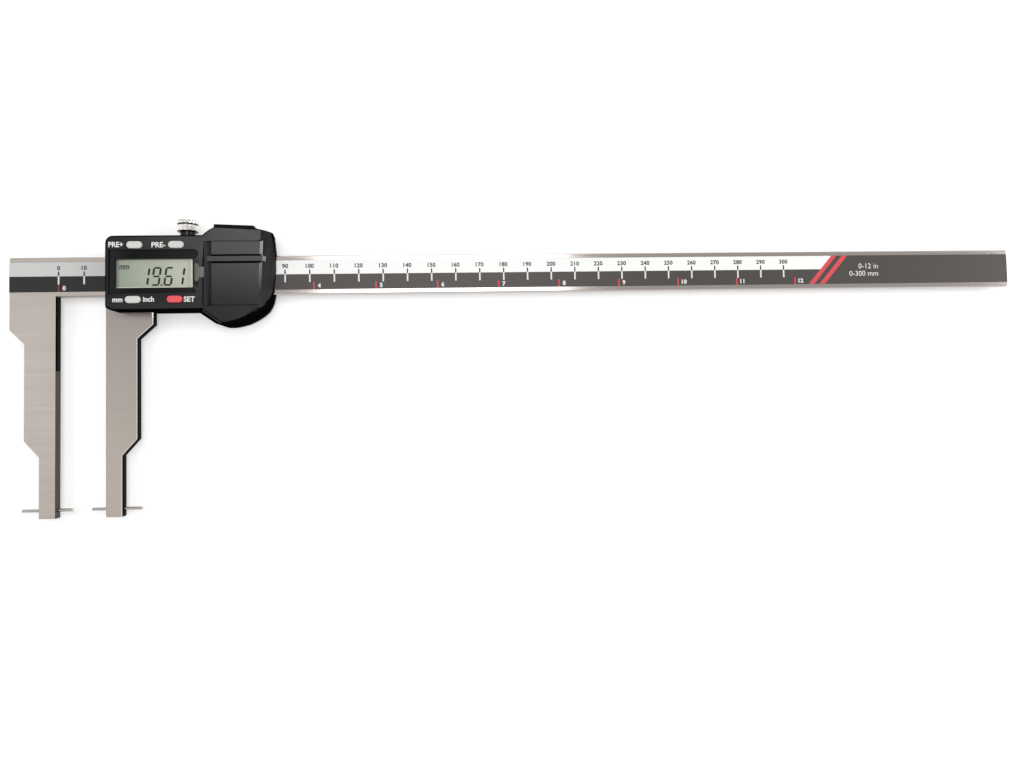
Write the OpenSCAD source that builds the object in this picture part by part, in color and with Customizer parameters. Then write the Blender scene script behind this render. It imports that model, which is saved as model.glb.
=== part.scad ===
// Digital groove caliper with long jaws and a cross pin at each jaw tip.
// It lies on its back: X runs along the beam, the jaws reach towards -Y, and the display faces +Z.
// The modules draw from the scale's zero mark, at the middle of the beam's front face,
// and place() moves each of them so that the part stands centred on the ground plane.

/* [Beam] */
// Length of the beam
beam_l = 419; // [405:1:450]
// Beam left of the scale's zero mark
beam_start = 19.2; // [18:0.1:22]
// Width of the beam
beam_w = 16; // [15.5:0.1:17]
// Thickness of the beam and the jaws
beam_t = 4; // [3.8:0.1:4.5]
// Chamfer along the beam's edges
beam_chamfer = 0.35; // [0.1:0.05:0.5]
// Width of the scale's groove in the beam
groove_w = 12.2; // [11.8:0.1:12.6]
// Thickness of the circuit strip in the groove
strip_t = 0.75; // [0.6:0.05:1]
// Thickness of the printed scale film
film_t = 0.2; // [0.15:0.05:0.3]
// Depth of the film below the beam's face
film_sink = 0.05; // [0.02:0.01:0.1]

/* [Jaws] */
// Opening between the measuring faces
reading = 19.61; // [17:0.01:60]
// Fixed measuring face left of the zero mark
zero_to_face = 1.1; // [0.5:0.1:2]
// Jaw tips below the middle of the beam
jaw_depth = 97; // [85:1:110]
// Width of the moving jaw's root
root_w = 18.6; // [17:0.1:20]
// Width of both jaws at mid length
mid_w = 12.3; // [11:0.1:14]
// Width of both jaw tips
tip_w = 6.4; // [5.5:0.1:8]
// Upper slope of the fixed jaw below the middle of the beam
fixed_slope_y = 21.2; // [19:0.1:24]
// Upper slope of the moving jaw below the middle of the beam
moving_slope_y = 19.6; // [18:0.1:24]
// Height of the upper slope
upper_slope_h = 5.8; // [4:0.1:7]
// Lower slope of both jaws below the middle of the beam
lower_slope_y = 65.9; // [55:0.1:72]
// Height of the lower slope
lower_slope_h = 6.6; // [5:0.1:8]

/* [Cross pins] */
// Diameter of a cross pin
pin_d = 1.3; // [1:0.1:2]
// Length of a cross pin
pin_l = 19.6; // [17:0.1:22]
// Reach of a pin past its measuring face
pin_reach = 6; // [5:0.1:7]
// Pin axis above the jaw tip
pin_up = 3.2; // [2:0.1:5]

/* [Slider] */
// Length of the slider frame
frame_l = 62.5; // [61:0.1:63]
// Thickness of the plate behind the beam
plate_t = 3.1; // [2.6:0.1:4]
// Width of the rail below the beam
low_rail_w = 5.3; // [5:0.1:6]
// Width of the rail above the gib
top_rail_w = 4.3; // [4:0.1:5]
// Thickness of the lips over the beam's face
lip_t = 0.7; // [0.5:0.05:1]
// Reach of the lips over the beam's face
lip_reach = 1.3; // [1:0.1:1.6]
// Sliding clearance between frame and beam
slide_gap = 0.05; // [0.02:0.01:0.08]
// Thickness of the gib
gib_t = 1.2; // [0.8:0.1:1.5]
// Length of the gib
gib_l = 54; // [50:1:56]
// Diameter of the gib's set screws
set_screw_d = 2.5; // [2:0.1:3]
// First set screw from the gib's left end
set_screw_left = 10.75; // [9:0.25:12]
// Second set screw from the gib's right end
set_screw_right = 9.25; // [8:0.25:12]

/* [Lock screw] */
// Screw axis right of the slider frame's middle
lock_x = 0.55; // [-1:0.05:2]
// Diameter of the knurled head
lock_head_d = 8.2; // [7:0.1:9]
// Height of the knurled head
lock_head_h = 5.6; // [4.5:0.1:7]
// Diameter of the neck under the head
lock_neck_d = 5.9; // [5:0.1:6.2]
// Length of the neck
lock_neck_h = 4.85; // [4.5:0.05:6]
// Diameter of the threaded shank
lock_shank_d = 4; // [3:0.1:4.5]

/* [Housing] */
// Housing's left edge from the slider's left end
setback = 3.2; // [3:0.1:5]
// Housing's reach past the frame's right end
house_past = 5.5; // [5:0.1:6.5]
// Front of the display part above the beam's face
block_h = 8; // [7.6:0.1:9]
// Front of the battery part above the beam's face
bulge_h = 8.8; // [8.8:0.1:10]
// Thickness of the side walls
wall_t = 1.3; // [1:0.1:1.6]
// Thickness of the front wall
front_t = 1.4; // [1.2:0.05:1.6]
// Rise of the battery part above the display part's top edge
bulge_up = 3.1; // [2.6:0.1:4]
// Drop of the battery part below the display part's lower edge
bulge_down = 6.3; // [5:0.1:8]
// Width of the sloping right end
end_slope = 4.7; // [3.5:0.1:5.5]
// Thickness of the rear cover
rear_t = 1.2; // [0.9:0.1:1.5]
// Diameter of the housing screws
screw_d = 2; // [1.6:0.1:2.2]

/* [Display] */
// Bezel's left edge from the housing's left edge
bezel_left = 1.5; // [1.2:0.05:1.8]
// Front wall between the bezel and the battery well
bezel_gap = 2.2; // [2:0.1:2.8]
// Height of the bezel
bezel_w = 17.4; // [17:0.1:17.6]
// Middle of the bezel above the middle of the beam
bezel_y = 0.5; // [0.4:0.05:0.6]
// Bezel's face below the housing's face
bezel_sink = 0.4; // [0.3:0.05:0.6]
// Window's left edge from the housing's left edge
window_left = 3.9; // [3.5:0.1:4.5]
// Window's right edge from the bezel's right edge
window_right = 2.3; // [2:0.1:3]
// Height of the window
window_w = 11.5; // [10.5:0.1:12]
// Thickness of the liquid crystal cell
cell_t = 1.8; // [1.5:0.1:2]

/* [Buttons] */
// Length of a button
button_l = 6.3; // [5.8:0.1:6.8]
// Width of a button
button_w = 3; // [2.8:0.1:3.2]
// Height of a button above the housing's face
button_proud = 0.6; // [0.5:0.05:0.8]
// Travel of a button
button_travel = 0.5; // [0.3:0.05:0.6]
// Middle of the upper buttons above the middle of the beam
top_button_y = 11.1; // [11.05:0.05:11.3]
// Middle of the lower buttons below the middle of the beam
low_button_y = 10.7; // [10.5:0.05:10.9]
// Upper left button from the housing's left edge
preset_up_x = 11.5; // [10.5:0.1:12.5]
// Upper right button from the bezel's right edge
preset_down_x = 8.6; // [7:0.1:10]
// Lower left button from the housing's left edge
unit_x = 10.9; // [10.2:0.1:12.5]
// Lower right button from the bezel's right edge
set_x = 9.2; // [8:0.1:11]

/* [Electronics] */
// Thickness of the main board
board_t = 0.8; // [0.7:0.05:1]
// Gap between the reading head and the scale's groove edge
head_gap = 0.15; // [0.1:0.01:0.2]
// Thickness of the contact strips of the battery
contact_t = 0.2; // [0.15:0.05:0.3]
// Diameter of the coin battery
battery_d = 20; // [19:0.1:20.2]
// Thickness of the coin battery
battery_t = 3.2; // [2.5:0.1:3.2]
// Battery's middle from the housing's right edge
battery_x = 14.9; // [14.6:0.1:15]

/* [Covers] */
// Left edge of the battery cover from the battery's middle
cover_left = 11.4; // [10.9:0.1:11.6]
// Thickness of the battery cover
cover_t = 1.35; // [1.2:0.05:1.4]
// Top edge of the battery cover above the middle of the beam
cover_top = 12.15; // [11.8:0.05:12.4]
// Lower edge of the battery cover below the middle of the beam
cover_low = 13.4; // [13:0.05:13.8]
// Left edge of the port lid from the port's middle
lid_left = 7.7; // [7.5:0.1:9]
// Length of the port lid
lid_l = 15.8; // [15:0.1:17]
// Thickness of the port lid
lid_t = 1.5; // [1:0.05:1.7]

/* [End stop] */
// Bare end of the beam past the end stop
stop_inset = 18.2; // [15:0.1:25]
// Length of the end stop
stop_l = 11; // [9:0.5:13]
// Thickness of the end stop
stop_t = 2.9; // [2:0.1:3]

/* [Hidden] */

// Clearances
snug = 0.02;
run_gap = 0.05;
part_gap = 0.1;
side_gap = 0.15;
// A cut goes this far past the face it opens
over = 1;
$fn = 64;

// Places along the beam
fixed_face = -zero_to_face;
slider_x = fixed_face + reading;
frame_right = slider_x + frame_l;
house_x = slider_x + setback;
house_right = frame_right + house_past;
gib_x = slider_x + (frame_l - gib_l) / 2;
set_screw_x = [gib_x + set_screw_left, gib_x + gib_l - set_screw_right];
beam_end = beam_l - beam_start;
stop_x = beam_end - stop_inset - stop_l;

// Places across the beam
beam_side = beam_w / 2;
low_rail_in = -beam_side - slide_gap;
low_rail_out = low_rail_in - low_rail_w;
gib_low = beam_side + slide_gap;
top_rail_in = gib_low + gib_t + slide_gap;
top_rail_out = top_rail_in + top_rail_w;
house_low = low_rail_out - side_gap - wall_t;
house_top = top_rail_out + part_gap + wall_t;
plate_inset = 0.3;
plate_cut = 1.5;
plate_low = house_low + plate_inset;
plate_high = house_top - plate_inset;
lip_edge = beam_side - lip_reach;

// Heights, from the back to the display
plate_top = -beam_t - slide_gap;
ground = plate_top - plate_t;
skirt_z = -beam_t + part_gap;
lip_top = slide_gap + lip_t;
board_z = lip_top + part_gap;
board_top = board_z + board_t;
wall_under = block_h - front_t;
bezel_face = block_h - bezel_sink;
cell_top = wall_under - part_gap;
cell_z = cell_top - cell_t;
groove_d = strip_t + film_t + film_sink;
mid_z = -beam_t / 2;

// Lock screw
lock_axis_x = slider_x + frame_l / 2 + lock_x;
lock_neck_y = top_rail_out + side_gap;
lock_head_y = lock_neck_y + lock_neck_h;
lock_top = lock_head_y + lock_head_h;

// Battery room
well_gap = 0.3;
well_wall = 1.2;
floor_z = lip_top + 0.2;
floor_top = board_top + 0.35;
battery_z = floor_top + contact_t + run_gap;
battery_top = battery_z + battery_t;
battery_mid = [house_right - battery_x, -0.6];
well_r = battery_d / 2 + well_gap;
well_left = battery_mid[0] - well_r - well_wall;
bezel_x = house_x + bezel_left;
bezel_right = well_left - bezel_gap;

// Battery cover and its seat
cover_x = battery_mid[0] - cover_left;
cover_z = bulge_h - cover_t;
seat_z = cover_z - run_gap;
seat_t = 1;
tongue_w = 0.35;
tongue_t = 0.45;
cover_slope = 3.1;
tongue_x = cover_x + cover_slope;
rib_h = 0.3;
rib_w = 2;
rib_y = 5.1;
rib_groove = 0.8;

// Outline of the housing
corner_r = 3;
rise_run = 7.2;
shoulder_run = 17.6;
low_run = 15.7;
low_rise_run = 11;
bulge_top = house_top + bulge_up;
bulge_low = house_low - bulge_down;
top_fall = 0.75;
slope_x = house_right - end_slope;
shoulder_x = slope_x - shoulder_run;
rise_x = shoulder_x - rise_run;
low_x = slope_x - low_run;
low_start = low_x - low_rise_run;
rim_z = 0.5;
low_bend = [4, 1.4];
end_corner = 0.85;
end_cut = 0.5;
end_turn = 2.9;
draw_in = 0.8;
draft = [0.7, 0.35];
rib_past = 1.2;
// Round lower right corner, as steps left of the right end and up from the lower edge
end_curve = [[0, 23], [1, 14.1], [1.9, 10], [2.8, 7.9], [3.8, 6.3], [6, 4.4], [9, 2.5], [12, 1.2], [15, 0.4], [17.5, 0]];

// Port in the top edge
port_l = 10;
port_w = 4.6;
port_back = 9.9;
port_x = frame_right - port_back;
port_z = 3;
top_pitch = top_fall / shoulder_run;
lid_tilt = -atan(top_pitch);

// Window in the bezel, and the cell behind it
window_x = house_x + window_left;
window_l = bezel_right - window_right - window_x;
window_low = 0.75;
window_y = bezel_y - window_low - window_w / 2;
cell_edge = 0.7;
cell_ledge = 1;
cell_x = window_x - cell_edge;
cell_l = window_l + 2 * cell_edge;
cell_low = window_y - cell_edge - cell_ledge;
cell_w = window_w + 2 * (cell_edge + cell_ledge);

// Buttons, in the order of their nodes
button_edge = 0.45;
flange_t = 1;
flange_z = wall_under - part_gap - flange_t;
pad_top = flange_z - button_travel - run_gap;
button_places = [
    [house_x + preset_up_x, top_button_y], [bezel_right - preset_down_x, top_button_y],
    [house_x + unit_x, -low_button_y], [bezel_right - set_x, -low_button_y]];

// Catch of the battery cover
catch_l = 3.6;
catch_x = cover_x - part_gap - catch_l;
catch_nose_x = cover_x - part_gap;
catch_w = 4.2;
catch_head_w = 7.8;
catch_head_l = 1.6;
catch_round = 0.8;
catch_t = 0.9;
catch_proud = 0.15;
catch_z = block_h + catch_proud - catch_t;

// Board and battery contacts
board_x = house_x + wall_t + side_gap;
board_right = well_left - side_gap;
contact_back = 1.6;
contact_x = board_right - contact_back;
contact_w = 2.6;
contact_y = 0.8;
contact_room = 4;
head_in = 2;
head_out = 4.4;

// Screws through the slider
screw_in = 3.8;
screw_back = 0.6;
housing_screw_x = [house_x + screw_in, bezel_right - screw_back];
housing_screw_y = [-low_button_y, top_button_y];
housing_screw_top = 4.5;
rear_screw_back = 1.2;
rear_screw_up = 0.95;
rear_screw_run = 2.5;
rear_screw_low = 1.9;
rear_screw_at = [
    [slope_x - rear_screw_back, house_top + rear_screw_up],
    [low_x + rear_screw_run, bulge_low + rear_screw_low]];
rear_screw_d = 1.4;
rear_head_d = 2.3;
rear_screw_l = 4.4;
rear_boss_r = 1.3;
boss_r = 1.7;

// The whole part's middle
mid_x = (beam_end - beam_start) / 2;
mid_y = (lock_top - jaw_depth) / 2;

module place() {
    translate([-mid_x, -mid_y, -ground]) children();
}

// Box from its lowest to its highest corner
module block(low, high) {
    translate(low) cube(high - low);
}

// Outline in Y and Z, drawn out along X
module along_x(from, to) {
    translate([from, 0, 0]) rotate([90, 0, 90]) linear_extrude(to - from) children();
}

// Outline in X and Z, drawn out along Y
module along_y(from, to) {
    translate([0, to, 0]) rotate([90, 0, 0]) linear_extrude(to - from) children();
}

// Height of the battery part's sloping top edge
function top_line(x) = bulge_top - (x - shoulder_x) * top_pitch;

// Points of an arc, as an ellipse's quarter or part of one
function arc(mid, rx, ry, from, to, steps) =
    [for (i = [0:steps]) mid + [rx * cos(from + (to - from) * i / steps),
                                ry * sin(from + (to - from) * i / steps)]];

// Upright cylinder
module post(at, r, low, high) {
    translate([at[0], at[1], low]) cylinder(r = r, h = high - low);
}

// Flat-headed screw with its head's face at z, pointing up
module sunk_screw(d, head_d, length, slot_w) {
    head_h = (head_d - d) / 2;
    difference() {
        union() {
            cylinder(d1 = head_d, d2 = d, h = head_h);
            cylinder(d = d, h = length);
        }
        translate([-head_d, -slot_w / 2, -over]) cube([2 * head_d, slot_w, over + head_h / 2]);
        translate([-slot_w / 2, -head_d / 3, -over]) cube([slot_w, head_d * 2 / 3, over + head_h / 2]);
    }
}

// Hole that a flat-headed screw fits
module sunk_hole(d, head_d, length) {
    head_h = (head_d - d) / 2;
    translate([0, 0, -over]) cylinder(d = d + 2 * snug, h = length + over + snug);
    cylinder(d1 = head_d + 2 * snug, d2 = d + 2 * snug, h = head_h);
    translate([0, 0, -over]) cylinder(d = head_d + 2 * snug, h = over);
}

// Jaw outline from its measuring face; side is -1 for the fixed jaw and 1 for the moving one
function jaw_outline(face, side, root, slope_y, start_y) = [
    [face, -start_y], [face + side * root, -start_y],
    [face + side * root, -slope_y], [face + side * mid_w, -slope_y - upper_slope_h],
    [face + side * mid_w, -lower_slope_y], [face + side * tip_w, -lower_slope_y - lower_slope_h],
    [face + side * tip_w, -jaw_depth], [face, -jaw_depth]];

module jaw(face, side, root, slope_y, start_y) {
    difference() {
        translate([0, 0, -beam_t])
            linear_extrude(beam_t) polygon(jaw_outline(face, side, root, slope_y, start_y));
        translate([face - side * over, pin_up - jaw_depth, mid_z])
            rotate([0, side * 90, 0]) cylinder(d = pin_d + 2 * snug, h = tip_w + 2 * over);
    }
}

// Cross pin with broken ends, from its inner tip
module cross_pin(face, side) {
    tip = 0.15;
    translate([face - side * pin_reach, pin_up - jaw_depth, mid_z]) rotate([0, side * 90, 0]) {
        cylinder(d1 = pin_d - 2 * tip, d2 = pin_d, h = tip);
        translate([0, 0, tip]) cylinder(d = pin_d, h = pin_l - 2 * tip);
        translate([0, 0, pin_l - tip]) cylinder(d1 = pin_d, d2 = pin_d - 2 * tip, h = tip);
    }
}

stop_screw_d = 2;
stop_screw_l = 4.6;
stop_screw_y = 3.5;

module beam() {
    c = beam_chamfer;
    color("#bdb4ac") difference() {
        union() {
            along_x(-beam_start, beam_end) polygon([
                [-beam_side + c, 0], [-beam_side, -c],
                [-beam_side, c - beam_t], [-beam_side + c, -beam_t],
                [beam_side - c, -beam_t], [beam_side, c - beam_t],
                [beam_side, -c], [beam_side - c, 0]]);
            jaw(fixed_face, -1, beam_start - zero_to_face, fixed_slope_y, beam_side - over);
        }
        block([-beam_start - over, -groove_w / 2, -groove_d], [beam_end + over, groove_w / 2, over]);
        for (side = [-1, 1])
            translate([stop_x + stop_l / 2, side * stop_screw_y, -beam_t - stop_t])
                cylinder(d = stop_screw_d + 2 * snug, h = stop_screw_l + snug);
    }
}

module circuit_strip() {
    color("#2f6b3f") block([-beam_start, -groove_w / 2 + run_gap, -groove_d],
                           [beam_end, groove_w / 2 - run_gap, -groove_d + strip_t]);
}

module scale_film() {
    color("#f2f2f0") block([-beam_start, -groove_w / 2 + run_gap, -groove_d + strip_t],
                           [beam_end, groove_w / 2 - run_gap, -film_sink]);
}

module fixed_pin() {
    color("#c9c5c0") cross_pin(fixed_face, -1);
}

module end_stop() {
    half_w = 6;
    color("#b0aaa4") difference() {
        block([stop_x, -half_w, -beam_t - stop_t], [stop_x + stop_l, half_w, -beam_t]);
        for (side = [-1, 1])
            translate([stop_x + stop_l / 2, side * stop_screw_y, -beam_t - stop_t])
                sunk_hole(stop_screw_d, 2 * stop_screw_d - 0.2, stop_screw_l);
    }
}

module end_stop_screws() {
    color("#8f8b87") for (side = [-1, 1])
        translate([stop_x + stop_l / 2, side * stop_screw_y, -beam_t - stop_t])
            sunk_screw(stop_screw_d, 2 * stop_screw_d - 0.2, stop_screw_l, 0.5);
}

module housing_screw_places() {
    for (x = housing_screw_x, y = housing_screw_y) translate([x, y, ground]) children();
}

module slider_frame() {
    color("#bdb4ac") difference() {
        union() {
            translate([0, 0, ground]) linear_extrude(plate_t) polygon([
                [slider_x, plate_low], [frame_right - plate_cut, plate_low],
                [frame_right, plate_low + plate_cut], [frame_right, plate_high - plate_cut],
                [frame_right - plate_cut, plate_high], [slider_x, plate_high]]);
            along_x(slider_x, frame_right) polygon([
                [low_rail_out, plate_top], [low_rail_in, plate_top], [low_rail_in, 0], [low_rail_out, 0]]);
            along_x(slider_x, frame_right) polygon([
                [top_rail_in, plate_top], [top_rail_out, plate_top], [top_rail_out, 0], [top_rail_in, 0]]);
            along_x(house_x + part_gap, frame_right) polygon([
                [low_rail_out, -over], [low_rail_in, -over], [low_rail_in, slide_gap],
                [-lip_edge, slide_gap], [-lip_edge, lip_top], [low_rail_out, lip_top]]);
            along_x(house_x + part_gap, frame_right) polygon([
                [top_rail_out, -over], [top_rail_in, -over], [top_rail_in, slide_gap],
                [lip_edge, slide_gap], [lip_edge, lip_top], [top_rail_out, lip_top]]);
            jaw(slider_x, 1, root_w, moving_slope_y, beam_side + over);
        }
        housing_screw_places() sunk_hole(screw_d, 2 * screw_d - 0.2, housing_screw_top - ground);
        for (x = set_screw_x)
            translate([x, top_rail_in - over, mid_z])
                rotate([-90, 0, 0]) cylinder(d = set_screw_d + 2 * snug, h = top_rail_w + 2 * over);
        translate([lock_axis_x, top_rail_in - over, mid_z])
            rotate([-90, 0, 0]) cylinder(d = lock_shank_d + 2 * run_gap, h = top_rail_w + 2 * over);
        translate([lock_axis_x, top_rail_out, mid_z])
            rotate([-90, 0, 0])
                cylinder(d = lock_neck_d + 2 * side_gap, h = house_top - top_rail_out + over);
    }
}

module moving_pin() {
    color("#c9c5c0") cross_pin(slider_x, 1);
}

module gib() {
    color("#b08d4f") block([gib_x, gib_low, part_gap - beam_t],
                           [gib_x + gib_l, gib_low + gib_t, -part_gap]);
}

module gib_screws() {
    slot_w = 0.5;
    color("#8f8b87") for (x = set_screw_x)
        translate([x, gib_low + gib_t + snug, mid_z]) rotate([-90, 0, 0]) difference() {
            cylinder(d = set_screw_d, h = top_rail_w - side_gap);
            translate([-set_screw_d, -slot_w / 2, top_rail_w - side_gap - slot_w])
                cube([2 * set_screw_d, slot_w, over]);
        }
}

// Knurled head with a round groove near its top, a neck and a threaded shank
module lock_screw() {
    head_r = lock_head_d / 2;
    edge = 0.5;
    groove_y = 3.3;
    shank_start = gib_low + gib_t + run_gap;
    color("#c4c2be") translate([lock_axis_x, 0, mid_z]) rotate([-90, 0, 0]) rotate_extrude() polygon([
        [0, shank_start], [lock_shank_d / 2 - edge / 2, shank_start],
        [lock_shank_d / 2, shank_start + edge / 2],
        [lock_shank_d / 2, lock_neck_y], [lock_neck_d / 2, lock_neck_y],
        [lock_neck_d / 2, lock_head_y], [head_r - edge, lock_head_y],
        [head_r, lock_head_y + edge], [head_r, lock_head_y + groove_y],
        [head_r - edge, lock_head_y + groove_y + edge / 2],
        [head_r - edge, lock_head_y + groove_y + edge], [head_r, lock_head_y + groove_y + 1.5 * edge],
        [head_r, lock_top - 2 * edge], [head_r - edge, lock_top - edge / 2],
        [head_r - 2 * edge, lock_top], [0, lock_top]]);
}

// Display part's outline: round top left corner, cut lower left corner, and a shoulder that rises to the right
module block_outline() {
    cut_l = 2.2;
    cut_h = 1.1;
    polygon(concat(
        [[cover_x, house_low], [cover_x + 2, house_low + cut_h], [cover_x + 2, house_top + 2],
         [cover_x + 0.6, house_top + 1.4], [cover_x - 0.9, house_top]],
        arc([house_x + corner_r, house_top - corner_r], corner_r, corner_r, 90, 180, 12),
        [[house_x, house_low + cut_h], [house_x + cut_l, house_low]]));
}

// Right end's lower corner, moved in at the front, and flattened at the back
function end_points(moved, back) =
    [for (p = end_curve) [house_right - max(moved[0] + p[0], back), bulge_low + moved[1] + p[1]]];

// Battery part's outline at the beam's level, with its right end drawn in at the back
module base_outline(back) {
    top_x = shoulder_x - 0.5;
    end_x = house_right - end_corner - back;
    polygon(concat(
        [[low_start, house_low], [rise_x, house_top - 0.1], [top_x, top_line(top_x)],
         [end_x - end_cut, top_line(end_x - end_cut)], [end_x, top_line(end_x) - end_cut],
         [house_right - back, beam_side + 0.3]],
        end_points([0, 0], back),
        [[low_x, bulge_low], [low_x - low_bend[0], bulge_low + low_bend[1]]]));
}

// Battery part's outline at its front, before its right end is cut to a slope
module front_outline() {
    end_x = house_right - end_corner - draft[0];
    polygon(concat(
        [[low_start + 4.7, house_low - 0.7], [shoulder_x - 2.3, house_top + 1.75],
         [shoulder_x, bulge_top - 0.1], [end_x - end_cut, top_line(end_x) - draft[1]],
         [end_x, top_line(end_x) - end_cut - draft[1]], [house_right - draft[0], beam_side + 0.3]],
        end_points(draft, 0),
        [[low_x + 0.8, bulge_low + draft[1]]]));
}

// Space over the sloping right end, moved in by a wall
module end_wedge(inset) {
    fall = [end_slope, rim_z - bulge_h];
    wide = [30, 0];
    translate([slope_x - inset * norm(fall) / (bulge_h - rim_z), 0, bulge_h]) rotate([0, 0, -end_turn])
        along_y(-40, 40) polygon([-fall / 2, 1.5 * fall, 1.5 * fall + wide, wide - fall / 2]);
}

// Battery part as a tapering form, inset by a wall and ending at a height
module bulge_form(inset, low, high) {
    sheet = 0.01;
    difference() {
        hull() {
            translate([0, 0, low]) linear_extrude(sheet) offset(delta = -inset) base_outline(draw_in);
            translate([0, 0, rim_z - sheet]) linear_extrude(sheet) offset(delta = -inset) base_outline(0);
            translate([0, 0, high - sheet]) linear_extrude(sheet) offset(delta = -inset) front_outline();
        }
        end_wedge(inset);
    }
}

module pill(at, length, width, low, high) {
    r = width / 2;
    run = length / 2 - r;
    translate([at[0], at[1], low]) linear_extrude(high - low) union() {
        translate([-run, -r]) square([2 * run, width]);
        for (side = [-1, 1]) translate([side * run, 0]) circle(r);
    }
}

// Catch outline: a wide head at the bezel and a narrow nose at the battery cover
module catch_outline(grow) {
    head_y = catch_head_w / 2 + grow;
    nose_y = catch_w / 2 + grow;
    step_x = catch_x + catch_head_l + grow;
    half = [
        [catch_nose_x + grow, nose_y], [step_x, nose_y], [step_x, nose_y + catch_round],
        [catch_x + catch_head_l / 2, head_y], [catch_x - grow, head_y - catch_round]];
    polygon(concat(half, [for (i = [len(half) - 1:-1:0]) [half[i][0], -half[i][1]]]));
}

module bezel_block(gap, low, high) {
    r = 1.8;
    x0 = bezel_x + gap;
    x1 = bezel_right - gap;
    y0 = bezel_y - bezel_w / 2 + gap;
    y1 = bezel_y + bezel_w / 2 - gap;
    translate([0, 0, low]) linear_extrude(high - low) polygon(concat(
        [[x0, y1], [x0, y0]],
        arc([x1 - r, y0 + r], r, r, -90, 0, 8),
        arc([x1 - r, y1 - r], r, r, 0, 90, 8)));
}

// Port lid's frame: X along the housing's top edge from the shoulder, Y out of it
module at_top_edge() {
    translate([shoulder_x, bulge_top, 0]) rotate([0, 0, lid_tilt]) children();
}

port_run = port_x - shoulder_x;

module housing_shell() {
    slot_x = house_right - 3.5;
    difference() {
        union() {
            translate([0, 0, skirt_z]) linear_extrude(block_h - skirt_z) block_outline();
            bulge_form(0, skirt_z, bulge_h);
        }
        block([house_x + wall_t, house_low + wall_t, skirt_z - over],
              [cover_x, house_top - wall_t, wall_under]);
        translate([0, 0, -part_gap]) bulge_form(wall_t, skirt_z - over, seat_z - seat_t);
        block([house_x - over, house_low + wall_t, skirt_z - over],
              [frame_right + side_gap, house_top - wall_t, lip_top + part_gap]);
        // Slot for the beam in the right end, relieved over the beam's bare margins
        block([frame_right, -beam_side - side_gap, skirt_z - over],
              [house_right + over, beam_side + side_gap, part_gap]);
        for (side = [-1, 1]) translate([0, side * (beam_side - 0.75), 0])
            block([slot_x, -0.95, -over], [house_right + over, 0.95, 1.5]);
        // Room for the moving jaw's root in the lower wall
        block([house_x - over, house_low - over, skirt_z - over],
              [slider_x + root_w + side_gap, house_low + wall_t + over, part_gap]);
    }
}

module housing() {
    color("#3d3d3d") difference() {
        union() {
            housing_shell();
            difference() {
                post(battery_mid, well_r + well_wall, floor_z, seat_z - seat_t / 2);
                end_wedge(0);
            }
            for (x = housing_screw_x, y = housing_screw_y)
                post([x, y], boss_r, board_top, wall_under + over / 2);
            for (at = rear_screw_at) post(at, rear_boss_r, skirt_z, skirt_z + rear_screw_l + over);
        }
        // Battery well, open to the front and to the contacts on its left
        post(battery_mid, well_r, floor_top, bulge_h + over);
        block([battery_mid[0] - well_r - 2 * well_wall, -contact_room, floor_top - run_gap],
              [battery_mid[0] - well_r + well_wall, contact_room, seat_z - seat_t]);
        // Seat of the battery cover with a groove on each side
        block([cover_x - part_gap, -cover_low - side_gap, seat_z],
              [house_right + over, cover_top + side_gap, bulge_h + over]);
        block([tongue_x - part_gap, -cover_low - tongue_w - side_gap, seat_z],
              [house_right + over, cover_top + tongue_w + side_gap, cover_z + tongue_t + run_gap]);
        block([rise_x - 2 * over, -cover_low - side_gap, block_h],
              [cover_x, cover_top + side_gap, bulge_h + over]);
        bezel_block(0, wall_under - over, block_h + over);
        for (at = button_places)
            pill(at, button_l + 2 * side_gap, button_w + 2 * side_gap, wall_under - over, block_h + over);
        translate([0, 0, wall_under - over]) linear_extrude(2 * over + front_t) catch_outline(part_gap);
        // Port in the top edge
        at_top_edge() block([port_run - port_l / 2, -2 * wall_t, port_z - port_w / 2],
                            [port_run + port_l / 2, over, port_z + port_w / 2]);
        // Lock screw's neck and the set screws' access in the top wall
        translate([lock_axis_x, top_rail_out, mid_z]) rotate([-90, 0, 0])
            cylinder(d = lock_neck_d + 2 * side_gap, h = 2 * wall_t + over);
        block([lock_axis_x - lock_neck_d / 2 - side_gap, top_rail_out, skirt_z - over],
              [lock_axis_x + lock_neck_d / 2 + side_gap, house_top + over, mid_z]);
        for (x = set_screw_x)
            translate([x, top_rail_out, mid_z]) rotate([-90, 0, 0])
                cylinder(d = set_screw_d + 2 * side_gap, h = bulge_top - top_rail_out + over);
        housing_screw_places() cylinder(d = screw_d + 2 * snug, h = housing_screw_top - ground + snug);
        for (at = rear_screw_at) translate([at[0], at[1], skirt_z - rear_t])
            cylinder(d = rear_screw_d + 2 * snug, h = rear_screw_l + snug);
    }
}

// Plastic plate that closes the battery part's back around the slider frame
module rear_cover() {
    reach = rise_x - 1.5;
    color("#363636") difference() {
        translate([0, 0, skirt_z - rear_t]) linear_extrude(rear_t) base_outline(draw_in);
        block([low_start - over, plate_low - part_gap, ground - over],
              [frame_right + part_gap, plate_high + part_gap, over]);
        block([low_start - over, bulge_low - over, ground - over], [reach, bulge_top + over, over]);
        block([frame_right - over, -beam_side - side_gap, plate_top - slide_gap], [house_right + over,
              beam_side + side_gap, over]);
        for (at = rear_screw_at) translate([at[0], at[1], skirt_z - rear_t])
            sunk_hole(rear_screw_d, rear_head_d, rear_screw_l);
    }
}

module rear_cover_screws() {
    color("#3a3a3a") for (at = rear_screw_at) translate([at[0], at[1], skirt_z - rear_t])
        sunk_screw(rear_screw_d, rear_head_d, rear_screw_l, 0.35);
}

module housing_screws() {
    color("#8f8b87") housing_screw_places()
        sunk_screw(screw_d, 2 * screw_d - 0.2, housing_screw_top - ground, 0.5);
}

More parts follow.
